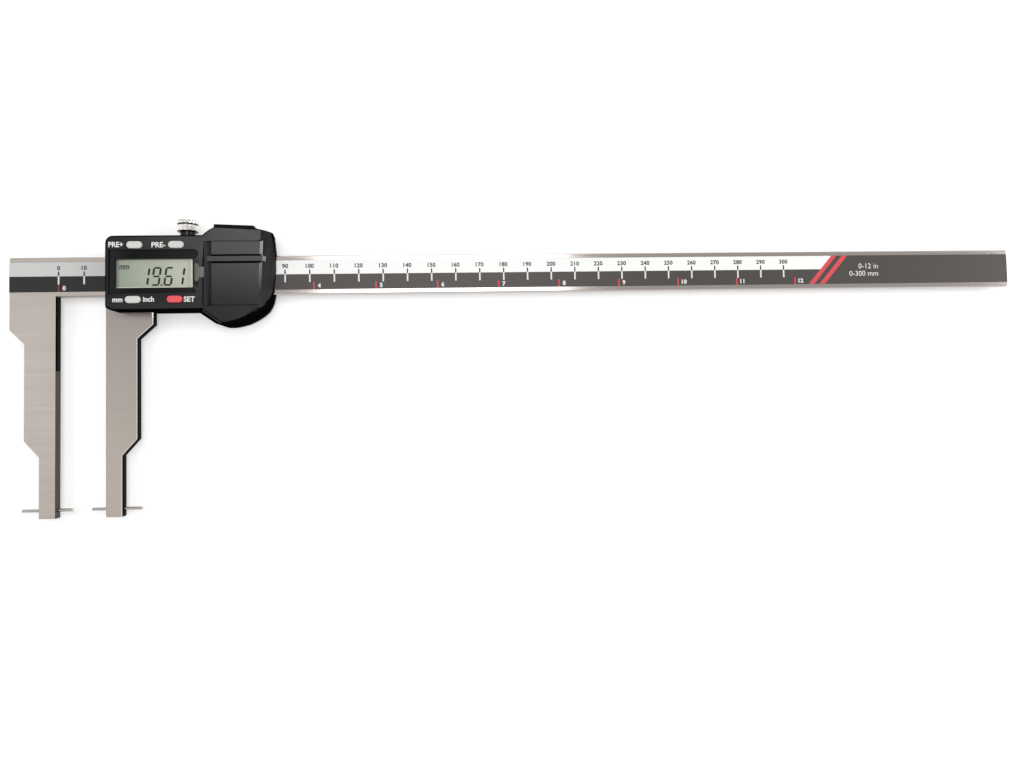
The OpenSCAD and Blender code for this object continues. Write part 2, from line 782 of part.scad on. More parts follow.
module display_bezel() {
    color("#161514") difference() {
        bezel_block(run_gap, wall_under, bezel_face);
        block([window_x, window_y, wall_under - over],
              [window_x + window_l, window_y + window_w, bezel_face + over]);
        translate([0, 0, wall_under - over]) linear_extrude(2 * over + front_t) catch_outline(part_gap);
    }
}

// Two glass plates; the rear one has a contact ledge along both long edges
module display_cell() {
    color("#a5ae9c") {
        block([cell_x, cell_low, cell_z], [cell_x + cell_l, cell_low + cell_w, cell_z + cell_t / 2]);
        block([cell_x, cell_low + cell_ledge, cell_z + cell_t / 2],
              [cell_x + cell_l, cell_low + cell_w - cell_ledge, cell_top]);
    }
}

// Plastic frame that holds the cell over the board and carries the bezel
module cell_holder() {
    x0 = house_x + wall_t + side_gap;
    x1 = cell_x + cell_l + 1;
    y0 = bezel_y - bezel_w / 2 + part_gap;
    y1 = bezel_y + bezel_w / 2 - 2 * part_gap;
    seat = 0.8;
    color("#e8e6e0") difference() {
        block([x0, y0, board_top], [x1, y1, wall_under]);
        block([cell_x - run_gap, cell_low - run_gap, cell_z],
              [cell_x + cell_l + run_gap, cell_low + cell_w + run_gap, wall_under + over]);
        block([cell_x + seat, cell_low + seat, board_top - over],
              [cell_x + cell_l - seat, cell_low + cell_w - seat, cell_z + over]);
    }
}

module zebra_strips() {
    strip_w = 1.6;
    inset = 0.9;
    color("#d9a9a0") for (y = [cell_low + inset, cell_low + cell_w - inset - strip_w])
        block([cell_x + 2, y, board_top], [cell_x + cell_l - 2, y + strip_w, cell_z]);
}

module main_board() {
    color("#23613a") difference() {
        block([board_x, low_rail_out + side_gap, board_z],
              [board_right, top_rail_out - side_gap, board_top]);
        for (x = housing_screw_x, y = housing_screw_y)
            post([x, y], screw_d / 2 + side_gap, board_z - over, board_top + over);
    }
}

module reading_head() {
    half_w = lip_edge - 0.8;
    color("#2c7a48") block([board_x + head_in, -half_w, head_gap],
                           [board_right - head_out, half_w, board_z]);
}

module controller_chip() {
    chip = [7, 5.5, 1.4];
    at = [cell_x + (cell_l - chip[0]) / 2, cell_low + (cell_w - chip[1]) / 2, board_top];
    color("#1d1d1f") block(at, at + chip);
}

// Rubber strip with a dome under each of two buttons
module key_pad(first, second) {
    strip_w = 3.2;
    strip_t = 0.7;
    end = 3;
    dome_r = 1.3;
    color("#8c8c8a") {
        block([first[0] - end, first[1] - strip_w / 2, board_top],
              [second[0] + end, first[1] + strip_w / 2, board_top + strip_t]);
        for (at = [first, second]) translate([at[0], at[1], board_top + strip_t])
            cylinder(r1 = dome_r + 0.2, r2 = dome_r, h = pad_top - board_top - strip_t);
    }
}

module key_pad_top() {
    key_pad(button_places[0], button_places[1]);
}

module key_pad_low() {
    key_pad(button_places[2], button_places[3]);
}

// Push button: a cap through the front wall and a flange under it
module button(at, shade) {
    step = 0.2;
    top = block_h + button_proud;
    color(shade) {
        pill(at, button_l + 2 * button_edge, button_w + 2 * button_edge, flange_z, flange_z + flange_t);
        pill(at, button_l, button_w, flange_z + flange_t, top - step);
        pill(at, button_l - 2 * step, button_w - 2 * step, top - step, top);
    }
}

module preset_up_button() {
    button(button_places[0], "#d6d4d0");
}

module preset_down_button() {
    button(button_places[1], "#d6d4d0");
}

module unit_button() {
    button(button_places[2], "#d6d4d0");
}

module set_button() {
    button(button_places[3], "#e8666a");
}

// Coin cell: the can with its smaller lower face
module battery() {
    step_r = 1.2;
    step_h = 0.5;
    color("#c8c8c6") {
        post(battery_mid, battery_d / 2 - step_r, battery_z, battery_z + step_h);
        post(battery_mid, battery_d / 2, battery_z + step_h, battery_top);
    }
}

module battery_contact_plus() {
    top = battery_top + snug + contact_t;
    color("#c9b98a") {
        block([contact_x, contact_y, top - contact_t], [battery_mid[0] - 2, contact_y + contact_w, top]);
        block([contact_x, contact_y, board_top], [contact_x + contact_t, contact_y + contact_w, top]);
    }
}

module battery_contact_minus() {
    low = -contact_y - contact_w;
    color("#c9b98a") {
        block([contact_x, low, floor_top], [battery_mid[0] + 4, -contact_y, floor_top + contact_t]);
        block([contact_x, low, board_top], [contact_x + 4 * contact_t, -contact_y, floor_top + contact_t]);
    }
}

// Sliding cover with a rib between two grooves and a tongue along each side
module battery_cover() {
    right = slope_x + 2 * over;
    far = right + 2 * over;
    color("#474747") difference() {
        union() {
            difference() {
                union() {
                    along_y(-cover_low, cover_top) polygon([
                        [cover_x, cover_z], [cover_x, cover_z + cover_t / 3], [tongue_x, bulge_h],
                        [right, bulge_h], [right, cover_z]]);
                    block([tongue_x, -cover_low - tongue_w, cover_z],
                          [right, cover_top + tongue_w, cover_z + tongue_t]);
                }
                end_wedge(0);
            }
            difference() {
                block([cover_x + 1.2, rib_y - rib_w / 2, cover_z], [far, rib_y + rib_w / 2, bulge_h + rib_h]);
                end_wedge(-rib_past);
            }
        }
        for (side = [-1, 1]) translate([0, rib_y + side * (rib_w + rib_groove) / 2, 0])
            block([tongue_x, -rib_groove / 2, bulge_h - rib_groove], [far, rib_groove / 2, bulge_h + over]);
    }
}

// Catch: its face stands a little above the front wall, beside the cover's left edge
module cover_catch() {
    color("#7b7a78") translate([0, 0, catch_z]) linear_extrude(catch_t) catch_outline(0);
}

// Contact block with gold pads, seated on the slider's upper rail
module port_connector() {
    depth = 2.2;
    color("#232323") block(
        [port_x - port_l / 2 + 0.4, top_rail_out - 2.2, lip_top + part_gap],
        [port_x + port_l / 2 - 0.4, top_rail_out + depth, port_z + port_w / 2 - 0.6]);
}

// Lid over the port: an outer plate with ribs, and a plug that fills the port
module port_lid() {
    x0 = port_run - lid_left;
    plug_depth = 1;
    plug = [port_l / 2 - side_gap, port_w / 2 - side_gap];
    color("#2b2b2b") at_top_edge() {
        block([x0, run_gap, port_z - 3.6], [x0 + lid_l, lid_t, port_z + 3.6]);
        block([port_run - plug[0], -plug_depth, port_z - plug[1]],
              [port_run + plug[0], run_gap + over / 2, port_z + plug[1]]);
    }
}

place() beam();
place() circuit_strip();
place() scale_film();
place() fixed_pin();
place() end_stop();
place() end_stop_screws();
place() slider_frame();
place() moving_pin();
place() gib();
place() gib_screws();
place() lock_screw();
place() housing();
place() rear_cover();
place() rear_cover_screws();
place() housing_screws();
place() display_bezel();
place() display_cell();
place() cell_holder();
place() zebra_strips();
place() main_board();
place() reading_head();
place() controller_chip();
place() key_pad_top();
place() key_pad_low();
place() preset_up_button();
place() preset_down_button();
place() unit_button();
place() set_button();
place() battery();
place() battery_contact_plus();
place() battery_contact_minus();
place() battery_cover();
place() cover_catch();
place() port_connector();
place() port_lid();
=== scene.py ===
import math

import bmesh
import bpy
from mathutils import Matrix, Vector
from mathutils.bvhtree import BVHTree


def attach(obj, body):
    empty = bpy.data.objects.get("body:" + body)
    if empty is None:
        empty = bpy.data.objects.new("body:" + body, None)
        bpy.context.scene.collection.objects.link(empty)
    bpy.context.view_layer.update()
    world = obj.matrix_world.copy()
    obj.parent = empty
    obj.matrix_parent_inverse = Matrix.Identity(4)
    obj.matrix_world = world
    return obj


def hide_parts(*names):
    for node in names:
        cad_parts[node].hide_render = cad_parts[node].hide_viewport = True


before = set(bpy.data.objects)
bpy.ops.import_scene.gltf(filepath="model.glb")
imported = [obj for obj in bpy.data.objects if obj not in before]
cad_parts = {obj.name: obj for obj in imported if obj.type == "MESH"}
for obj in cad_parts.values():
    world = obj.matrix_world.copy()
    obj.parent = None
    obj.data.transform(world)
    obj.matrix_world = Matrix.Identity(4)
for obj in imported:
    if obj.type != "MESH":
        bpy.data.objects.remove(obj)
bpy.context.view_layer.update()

print("frame loaded")

mm = 0.001
zeroMark = Vector((-0.1903, 0.0364, 0.00715))  # the scale's zero, on the beam's front face


def at(x, y, z):
    # a place measured in mm from the scale's zero mark
    return zeroMark + Vector((x, y, z)) * mm


def linearColour(text):
    values = [int(text[i:i + 2], 16) / 255 for i in (1, 3, 5)]
    return [v / 12.92 if v <= 0.04045 else ((v + 0.055) / 1.055) ** 2.4 for v in values] + [1.0]


def addNode(tree, kind, values=None):
    # A value is a setting of the node, or goes to the input of that name or number:
    # a plain value, a colour as text, or a socket or node to link.
    node = tree.nodes.new(kind)
    for name, value in (values or {}).items():
        if isinstance(name, str) and name not in node.inputs:
            setattr(node, name, value)
        elif isinstance(value, bpy.types.NodeSocket):
            tree.links.new(value, node.inputs[name])
        elif isinstance(value, bpy.types.Node):
            tree.links.new(value.outputs[0], node.inputs[name])
        else:
            node.inputs[name].default_value = linearColour(value) if isinstance(value, str) else value
    return node


def startMaterial(name, colour, roughness, metallic=0.0, **sockets):
    material = bpy.data.materials.new(name)
    material.use_nodes = True
    tree = material.node_tree
    shader = tree.nodes["Principled BSDF"]
    shader.inputs["Base Color"].default_value = linearColour(colour)
    shader.inputs["Roughness"].default_value = roughness
    shader.inputs["Metallic"].default_value = metallic
    for socket, value in sockets.items():
        shader.inputs[socket.replace("_", " ")].default_value = value
    return material, tree, shader


def softPattern(tree, spots, detail, roughness=0.5):
    # noise that is fixed to the object, with spots of that many mm along X, Y and Z
    place = addNode(tree, "ShaderNodeTexCoord")
    stretched = addNode(tree, "ShaderNodeMapping",
                        {"Vector": place.outputs["Object"], "Scale": [1 / (spot * mm) for spot in spots]})
    return addNode(tree, "ShaderNodeTexNoise",
                   {"Vector": stretched, "Scale": 1.0, "Detail": detail, "Roughness": roughness})


def alongLine(tree, start, end):
    # 0 at the start and 1 at the end of a line across the object, both given in mm
    run = Vector((end[0] - start[0], end[1] - start[1], 0)) * mm
    place = addNode(tree, "ShaderNodeTexCoord")
    offset = addNode(tree, "ShaderNodeVectorMath",
                     {"operation": "SUBTRACT", 0: place.outputs["Object"], 1: at(*start, 0)})
    along = addNode(tree, "ShaderNodeVectorMath",
                    {"operation": "DOT_PRODUCT", 0: offset, 1: run / run.length_squared})
    return addNode(tree, "ShaderNodeMapRange", {"Value": along.outputs["Value"]})


wholeNoise = {"From Min": 0.3, "From Max": 0.7}  # nearly all of a noise lies between these
middleNoise = {"From Min": 0.35, "From Max": 0.65}  # these give it more contrast


def unevenGloss(tree, shader, pattern, low, high):
    # the roughness wanders between two values with the pattern
    finish = addNode(tree, "ShaderNodeMapRange", {"Value": pattern, **wholeNoise, "To Min": low, "To Max": high})
    tree.links.new(finish.outputs[0], shader.inputs["Roughness"])


def bumpyFace(tree, shader, pattern, strength, depth):
    # the pattern as a relief of that depth in mm
    relief = addNode(tree, "ShaderNodeBump", {"Height": pattern, "Strength": strength, "Distance": depth * mm})
    tree.links.new(relief.outputs[0], shader.inputs["Normal"])


# Materials: a line across the object, given in mm, says from where to where a tone changes. Spots are the
# sizes of a pattern in mm, and "uneven" is how far the roughness wanders down and up.

groundFace = {"lineSpots": (45, 0.5, 0.5), "cloudSpots": (50, 40, 40), "uneven": (0.05, 0.07),
              "polishedUneven": (0.02, 0.03), "relief": 0.08, "depth": 0.02}


def groundSteel(name, colour, darker, roughness, paintedDarkening, polishAndHighlight=None):
    # Hardened stainless steel, surface ground along the beam: a satin face with fine lines along X.
    # The real lines are about 0.02 mm apart; they are drawn 0.5 mm apart, so that they just show.
    # Along one line it is painted darker, as painted shade: on the beam a dimmer reflection, on the slider
    # the casing's shadow. Where the slider runs, along another line, it is less rough and its colour is painted
    # paler in two tones, a painted highlight.
    s = groundFace
    material, tree, shader = startMaterial(name, colour, roughness, 1.0)
    lines = softPattern(tree, s["lineSpots"], 3.0, 0.6)
    cloud = softPattern(tree, s["cloudSpots"], 2.0)
    cloud = addNode(tree, "ShaderNodeMapRange", {"Value": cloud, **middleNoise})
    shade = addNode(tree, "ShaderNodeMix", {"data_type": "RGBA", 0: cloud, 6: colour, 7: darker})
    along = alongLine(tree, *paintedDarkening["line"])
    shade = addNode(tree, "ShaderNodeMix", {"data_type": "RGBA", 0: along, 6: shade.outputs[2], 7: paintedDarkening["tone"]})
    down, up = s["uneven"]
    finish = addNode(tree, "ShaderNodeMapRange",
                     {"Value": lines, **wholeNoise, "To Min": roughness - down, "To Max": roughness + up})
    if polishAndHighlight:
        run = alongLine(tree, *polishAndHighlight["line"])
        near, far = polishAndHighlight["tones"]
        bright = addNode(tree, "ShaderNodeMix", {"data_type": "RGBA", 0: along, 6: near, 7: far})
        shade = addNode(tree, "ShaderNodeMix",
                        {"data_type": "RGBA", 0: run, 6: shade.outputs[2], 7: bright.outputs[2]})
        low, high = polishAndHighlight["gloss"] - s["polishedUneven"][0], polishAndHighlight["gloss"] + s["polishedUneven"][1]
        gloss = addNode(tree, "ShaderNodeMapRange", {"Value": lines, **wholeNoise, "To Min": low, "To Max": high})
        finish = addNode(tree, "ShaderNodeMix", {"data_type": "FLOAT", 0: run, 2: finish, 3: gloss})
    tree.links.new(shade.outputs[2], shader.inputs["Base Color"])
    tree.links.new(finish.outputs[0], shader.inputs["Roughness"])
    bumpyFace(tree, shader, lines, s["relief"], s["depth"])
    return material


# painted shade on the side faces: tones at the front and behind, and the less dark part of the fixed jaw
jawSideShade = {"front": "#0e0d0c", "behind": "#2c2d2a", "toneShift": "#605d58", "frontBand": -1.4,
            "palerBelow": -38, "palerLeftOf": 5, "spots": (0.6, 12, 0.6), "roughness": (0.5, 0.65)}


def darkSteel(name):
    # Side faces of the jaws and beam, painted dark as shade: blackest along the front edge, greyer behind it.
    # The fixed jaw's lower half is painted less dark.
    s = jawSideShade
    material, tree, shader = startMaterial(name, s["behind"], 0.55, Specular_IOR_Level=0.0)
    place = addNode(tree, "ShaderNodeTexCoord")
    axes = addNode(tree, "ShaderNodeSeparateXYZ", {0: place.outputs["Object"]})
    left, low, near = at(s["palerLeftOf"], s["palerBelow"], s["frontBand"])
    isLow = addNode(tree, "ShaderNodeMath", {"operation": "LESS_THAN", 0: axes.outputs[1], 1: low})
    isLeft = addNode(tree, "ShaderNodeMath", {"operation": "LESS_THAN", 0: axes.outputs[0], 1: left})
    isPaler = addNode(tree, "ShaderNodeMath", {"operation": "MULTIPLY", 0: isLow, 1: isLeft})
    isNear = addNode(tree, "ShaderNodeMath", {"operation": "GREATER_THAN", 0: axes.outputs[2], 1: near})
    shade = addNode(tree, "ShaderNodeMix", {"data_type": "RGBA", 0: isNear, 6: s["behind"], 7: s["front"]})
    shade = addNode(tree, "ShaderNodeMix", {"data_type": "RGBA", 0: isPaler, 6: shade.outputs[2], 7: s["toneShift"]})
    tree.links.new(shade.outputs[2], shader.inputs["Base Color"])
    unevenGloss(tree, shader, softPattern(tree, s["spots"], 2.0), *s["roughness"])
    return material


turnedFace = {"spots": (0.8, 0.3, 0.8), "uneven": (0.05, 0.06)}


def brightSteel(name, colour, roughness, dirtAndShadeHollows=None):
    # Turned stainless steel with a bright finish: sharp highlights and faint turning marks.
    # Its knurl can be painted dark below a radius, as dirt and painted shade in its recesses and groove, fading
    # between two radii about an axis along Y.
    material, tree, shader = startMaterial(name, colour, roughness, 1.0)
    if dirtAndShadeHollows:
        x, z = dirtAndShadeHollows["axis"]
        place = addNode(tree, "ShaderNodeTexCoord")
        offset = addNode(tree, "ShaderNodeVectorMath",
                         {"operation": "SUBTRACT", 0: place.outputs["Object"], 1: at(x, 0, z)})
        flat = addNode(tree, "ShaderNodeVectorMath", {"operation": "MULTIPLY", 0: offset, 1: (1, 0, 1)})
        reach = addNode(tree, "ShaderNodeVectorMath", {"operation": "LENGTH", 0: flat})
        low, high = dirtAndShadeHollows["radii"]
        bare = addNode(tree, "ShaderNodeMapRange",
                       {"Value": reach.outputs["Value"], "From Min": low * mm, "From Max": high * mm})
        shade = addNode(tree, "ShaderNodeMix", {"data_type": "RGBA", 0: bare, 6: dirtAndShadeHollows["film"], 7: colour})
        tree.links.new(shade.outputs[2], shader.inputs["Base Color"])
    down, up = turnedFace["uneven"]
    unevenGloss(tree, shader, softPattern(tree, turnedFace["spots"], 2.0), roughness - down, roughness + up)
    return material


mouldedFace = {"ior": 1.5, "cloudSpots": (12, 12, 12), "uneven": 0.05, "relief": 0.35}


def mouldedPlastic(name, colour, paler, roughness, gloss=0.5, toneShift=(), grain=0.4, depth=0.03):
    # Injection moulded ABS: a fine eroded grain, slightly uneven in gloss from handling.
    # It can turn to another tone along each line given; on the black casing parts and the red print
    # this is painted light and shade.
    s = mouldedFace
    material, tree, shader = startMaterial(name, colour, roughness, Specular_IOR_Level=gloss, IOR=s["ior"])
    fine = softPattern(tree, [grain] * 3, 2.0, 0.6)
    cloud = softPattern(tree, s["cloudSpots"], 3.0)
    tone = addNode(tree, "ShaderNodeMapRange", {"Value": cloud, **middleNoise})
    shade = addNode(tree, "ShaderNodeMix", {"data_type": "RGBA", 0: tone, 6: colour, 7: paler})
    for start, end, shiftedColour in toneShift:
        shade = addNode(tree, "ShaderNodeMix", {"data_type": "RGBA", 0: alongLine(tree, start, end),
                                                6: shade.outputs[2], 7: shiftedColour})
    tree.links.new(shade.outputs[2], shader.inputs["Base Color"])
    unevenGloss(tree, shader, cloud, roughness - s["uneven"], roughness + s["uneven"])
    bumpyFace(tree, shader, fine, s["relief"], depth)
    return material


def plainFinish(name, colour, paler, roughness, spots, metallic=0.0):
    # A made surface that is mostly hidden or small: even colour with a little variation.
    material, tree, shader = startMaterial(name, colour, roughness, metallic)
    tone = addNode(tree, "ShaderNodeMapRange", {"Value": softPattern(tree, [spots] * 3, 3.0), **wholeNoise})
    shade = addNode(tree, "ShaderNodeMix", {"data_type": "RGBA", 0: tone, 6: colour, 7: paler})
    tree.links.new(shade.outputs[2], shader.inputs["Base Color"])
    return material


filmPrint = {
    "split": 0.29, "stripes": ((316.0, 318.35), (320.7, 323.1)), "lean": 0.845,
    "white": ("#d6d4d2", "#fefefc"), "dark": ("#2b2b29", "#524e4c"), "red": "#e0555b",
    "paintedShadeFades": ((15, 0), (90, 0)), "spots": (0.9, 0.9, 0.9), "roughness": (0.28, 0.36),
}


def printedFilm():
    # Screen printed polyester film: two fields of colour and two leaning stripes under a satin face.
    # It is painted greyer towards the fixed jaw, as painted shade where the light falls off.
    s = filmPrint
    low, high = s["roughness"]
    material, tree, shader = startMaterial("printedScaleFilm", s["white"][1], (low + high) / 2,
                                           Specular_IOR_Level=0.2)
    place = addNode(tree, "ShaderNodeTexCoord")
    axes = addNode(tree, "ShaderNodeSeparateXYZ", {0: place.outputs["Object"]})
    leaning = addNode(tree, "ShaderNodeMath",
                      {"operation": "MULTIPLY_ADD", 0: axes.outputs[1], 1: -s["lean"], 2: axes.outputs[0]})

    # each stripe's left and right line, measured as the lines lean
    stripes = [[at(x, 0, 0).x - s["lean"] * zeroMark.y for x in stripe] for stripe in s["stripes"]]
    upper = addNode(tree, "ShaderNodeMath",
                    {"operation": "GREATER_THAN", 0: axes.outputs[1], 1: at(0, s["split"], 0).y})
    before = addNode(tree, "ShaderNodeMath", {"operation": "LESS_THAN", 0: leaning, 1: stripes[0][0]})
    white = addNode(tree, "ShaderNodeMath", {"operation": "MULTIPLY", 0: upper, 1: before})
    # painted shade: the fields turn greyer towards the fixed jaw
    lessShade = alongLine(tree, *s["paintedShadeFades"])
    fields = [addNode(tree, "ShaderNodeMix", {"data_type": "RGBA", 0: lessShade, 6: s[field][0], 7: s[field][1]})
              for field in ("dark", "white")]
    shade = addNode(tree, "ShaderNodeMix",
                    {"data_type": "RGBA", 0: white, 6: fields[0].outputs[2], 7: fields[1].outputs[2]})
    for left, right in stripes:
        after = addNode(tree, "ShaderNodeMath", {"operation": "GREATER_THAN", 0: leaning, 1: left})
        before = addNode(tree, "ShaderNodeMath", {"operation": "LESS_THAN", 0: leaning, 1: right})
        inside = addNode(tree, "ShaderNodeMath", {"operation": "MULTIPLY", 0: after, 1: before})
        shade = addNode(tree, "ShaderNodeMix", {"data_type": "RGBA", 0: inside, 6: shade.outputs[2], 7: s["red"]})
    tree.links.new(shade.outputs[2], shader.inputs["Base Color"])
    unevenGloss(tree, shader, softPattern(tree, s["spots"], 2.0), low, high)
    return material


cellTones = {"left": "#879380", "right": "#bbc0ae", "line": ((25, 0), (50, 0))}


def displayGlass():
    # Reflective liquid crystal cell: grey-green behind clear glass, darker and greener towards its left.
    s = cellTones
    material, tree, shader = startMaterial("liquidCrystalCell", s["left"], 0.35,
                                           Coat_Weight=0.6, Coat_Roughness=0.05)
    along = alongLine(tree, *s["line"])
    shade = addNode(tree, "ShaderNodeMix", {"data_type": "RGBA", 0: along, 6: s["left"], 7: s["right"]})
    tree.links.new(shade.outputs[2], shader.inputs["Base Color"])
    return material


looks = {
    # painted shade and highlight: darker to the right as a dimmer reflection, paler from x 30 onwards, full from x 70
    "steel": groundSteel("groundStainlessSteel", "#b0a9a2", "#a9a19a", 0.36,
                         paintedDarkening={"line": ((20, 0), (90, 0)), "tone": "#958d87"},
                         polishAndHighlight={"line": ((30, 0), (70, 0)), "tones": ("#dbd8d3", "#bab2ad"), "gloss": 0.12}),
    # painted shadow: the slider's steel is darker towards the casing, where the casing shades it
    "sliderSteel": groundSteel("groundSliderSteel", "#b0a79f", "#a9a098", 0.36,
                               paintedDarkening={"line": ((30, -80), (30, -16)), "tone": "#978f8b"}),
    # painted shade on the side faces of beam and slider
    "shadedSides": darkSteel("paintedShadeJawSides"),
    # painted highlight on the slider's right-hand chamfers
    "highlightEdgeSteel": brightSteel("paintedHighlightSteelEdge", "#f2efea", 0.25),
    "pin": brightSteel("polishedPinSteel", "#b5b0ab", 0.22),
    # the knurl's recesses and ring groove are painted dark, as dirt and painted shade
    "knob": brightSteel("brightKnurledSteel", "#f6f3ee", 0.16,
                        dirtAndShadeHollows={"axis": (50.31, -2.0), "radii": (4.05, 4.07), "film": "#242220"}),
    "knobFace": brightSteel("brightTurnedSteel", "#e9e6e1", 0.2),
    # painted shade: the neck under the head is given a dark metal colour
    "neck": brightSteel("shadedNeckSteel", "#2b2a28", 0.14),
    "screw": plainFinish("plainScrewSteel", "#8f8b87", "#a09c97", 0.35, spots=2, metallic=1.0),
    "bronze": plainFinish("gibBronze", "#a37f45", "#b18c52", 0.35, spots=4, metallic=1.0),
    "board": plainFinish("glassFibreBoard", "#1f5a36", "#27683f", 0.4, spots=3),
    "film": printedFilm(),
    # painted sheen: the casing turns paler towards the bulge's upper right and towards its lower edge
    "casing": mouldedPlastic("mouldedAbsCasing", "#101010", "#141414", 0.5, gloss=0.25,
                             toneShift=[((50.5, -11), (72, 14), "#4e4e4e"), ((40, -10.5), (40, -13), "#1d1d1d")]),
    # painted sheen: the cover turns paler towards its top
    "cover": mouldedPlastic("mouldedAbsCover", "#232323", "#282828", 0.48, gloss=0.25,
                            toneShift=[((70, -11), (73, 9.5), "#505050")]),
    # painted shade: the cover's left-facing slope is dark, paler towards its left end
    "valley": mouldedPlastic("mouldedAbsShadedValley", "#101010", "#131313", 0.6, gloss=0.2,
                             toneShift=[((62.9, 0), (60.2, 0), "#3a3a3a")]),
    # painted highlight: the rounded right edge is pale, most towards its top
    "highlightEdgeAbs": mouldedPlastic("mouldedAbsPaintedHighlightEdge", "#2b2b2b", "#303030", 0.55, gloss=0.2,
                              toneShift=[((81, -8), (81, 10), "#9a9a99")]),
    # painted light and shade: the sloping right end has its own tone, darker towards its top
    "slope": mouldedPlastic("mouldedAbsShadedSlope", "#2b2b2b", "#303030", 0.6, gloss=0.15,
                            toneShift=[((80, 0), (80, 14), "#0f0f0f")]),
    # painted shade: side faces and grooves are near black
    "shadedSideAbs": mouldedPlastic("mouldedAbsPaintedShadeSides", "#0a0a0a", "#0d0d0d", 0.7, gloss=0.0, depth=0.02),
    "lid": mouldedPlastic("mouldedLid", "#0f0f0f", "#131313", 0.6, gloss=0.1, depth=0.02),
    "bezel": mouldedPlastic("glossyAcrylicBezel", "#100f0f", "#141313", 0.12, gloss=0.12,
                            toneShift=[((35, 0), (57, 0), "#262222")], grain=4, depth=0.004),
    "glass": displayGlass(),
    "segments": startMaterial("liquidCrystalSegments", "#292c26", 0.5, Specular_IOR_Level=0.2)[0],
    "whiteAbs": plainFinish("whiteAbsHolder", "#dedbd4", "#e6e4de", 0.5, spots=10),
    "rubber": plainFinish("siliconeRubber", "#8b8b89", "#959593", 0.7, spots=2),
    "zebra": plainFinish("zebraRubber", "#c99a91", "#d5a79e", 0.6, spots=1),
    "grey": mouldedPlastic("mouldedGreyButton", "#d9d7d3", "#dedcd8", 0.38, grain=0.5, depth=0.01),
    "red": mouldedPlastic("mouldedRedButton", "#ec5056", "#f0575c", 0.38, grain=0.5, depth=0.01),
    "catch": mouldedPlastic("mouldedGreyCatch", "#5f5d5c", "#646261", 0.45, gloss=0.25,
                            toneShift=[((57, 0), (59, 0), "#747270")], depth=0.02),
    "battery": plainFinish("nickelPlatedCan", "#c2c0bc", "#cfcdc9", 0.28, spots=4, metallic=1.0),
    "contact": plainFinish("goldPlatedSpring", "#c0a66b", "#cdb67c", 0.3, spots=2, metallic=1.0),
    "chip": plainFinish("epoxyChip", "#161617", "#1d1d1e", 0.5, spots=1),
    "whiteInk": plainFinish("whitePadPrint", "#e9e9e7", "#f0f0ee", 0.45, spots=1),
    "blackInk": plainFinish("blackScreenPrint", "#262524", "#2c2b2a", 0.45, spots=1),
    # the red print takes the film's painted shade towards the fixed jaw
    "redInk": mouldedPlastic("redScreenPrint", "#8a3438", "#90393d", 0.45, gloss=0.3,
                             toneShift=[(*filmPrint["paintedShadeFades"], "#dd4a50")], grain=0.9, depth=0.002),
    # painted highlight on the cell's right and bottom edges, painted shade on its left strip
    "litCellEdge": plainFinish("paintedHighlightCellEdge", "#dfe3cd", "#d4d9c3", 0.3, spots=2),
    "edgeShade": plainFinish("paintedShadeCellEdge", "#8b9088", "#858a82", 0.35, spots=2),
}
print("materials made")

# pieces that keep the CAD shape
nodeLooks = {
    "circuit_strip": "board", "scale_film": "film", "fixed_pin": "pin", "moving_pin": "pin",
    "end_stop": "steel", "end_stop_screws": "screw", "gib": "bronze", "gib_screws": "screw",
    "rear_cover": "casing", "rear_cover_screws": "screw", "housing_screws": "screw",
    "display_cell": "glass", "cell_holder": "whiteAbs", "zebra_strips": "zebra",
    "main_board": "board", "reading_head": "board", "controller_chip": "chip",
    "key_pad_top": "rubber", "key_pad_low": "rubber", "battery": "battery",
    "battery_contact_plus": "contact", "battery_contact_minus": "contact",
    "port_connector": "chip", "cover_catch": "catch",
}
for node, look in nodeLooks.items():
    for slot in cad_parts[node].material_slots:
        slot.material = looks[look]


def keepPiece(name, mesh, body, replaced=()):
    piece = bpy.data.objects.new(name, mesh)
    bpy.context.scene.collection.objects.link(piece)
    if replaced:
        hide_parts(*replaced)
    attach(piece, body)


def finishMesh(form, name):
    mesh = bpy.data.meshes.new(name)
    form.to_mesh(mesh)
    form.free()
    return mesh


def smoothFaces(mesh, limit=32):
    # faces are smooth, and edges sharper than the limit in degrees stay sharp
    form = bmesh.new()
    form.from_mesh(mesh)
    for face in form.faces:
        face.smooth = True
    for edge in form.edges:
        edge.smooth = len(edge.link_faces) == 2 and edge.calc_face_angle(0) < math.radians(limit)
    form.to_mesh(mesh)
    form.free()


def evaluatedMesh(thing):
    # the mesh that an object's modifiers or text give; the object itself goes
    mesh = bpy.data.meshes.new_from_object(thing.evaluated_get(bpy.context.evaluated_depsgraph_get()))
    data = thing.data
    bpy.data.objects.remove(thing)
    if data and data.users == 0 and isinstance(data, bpy.types.Mesh):
        bpy.data.meshes.remove(data)
    return mesh


# how an edge counts as an outer one: mm, degrees and parts of a unit normal
edgeSearch = {
    "weld": 0.015, "flat": 0.5, "smooth": 25, "backFacing": -0.5, "frontFacing": 0.9,
    "step": 0.03, "sink": 0.1, "reach": 100,
}


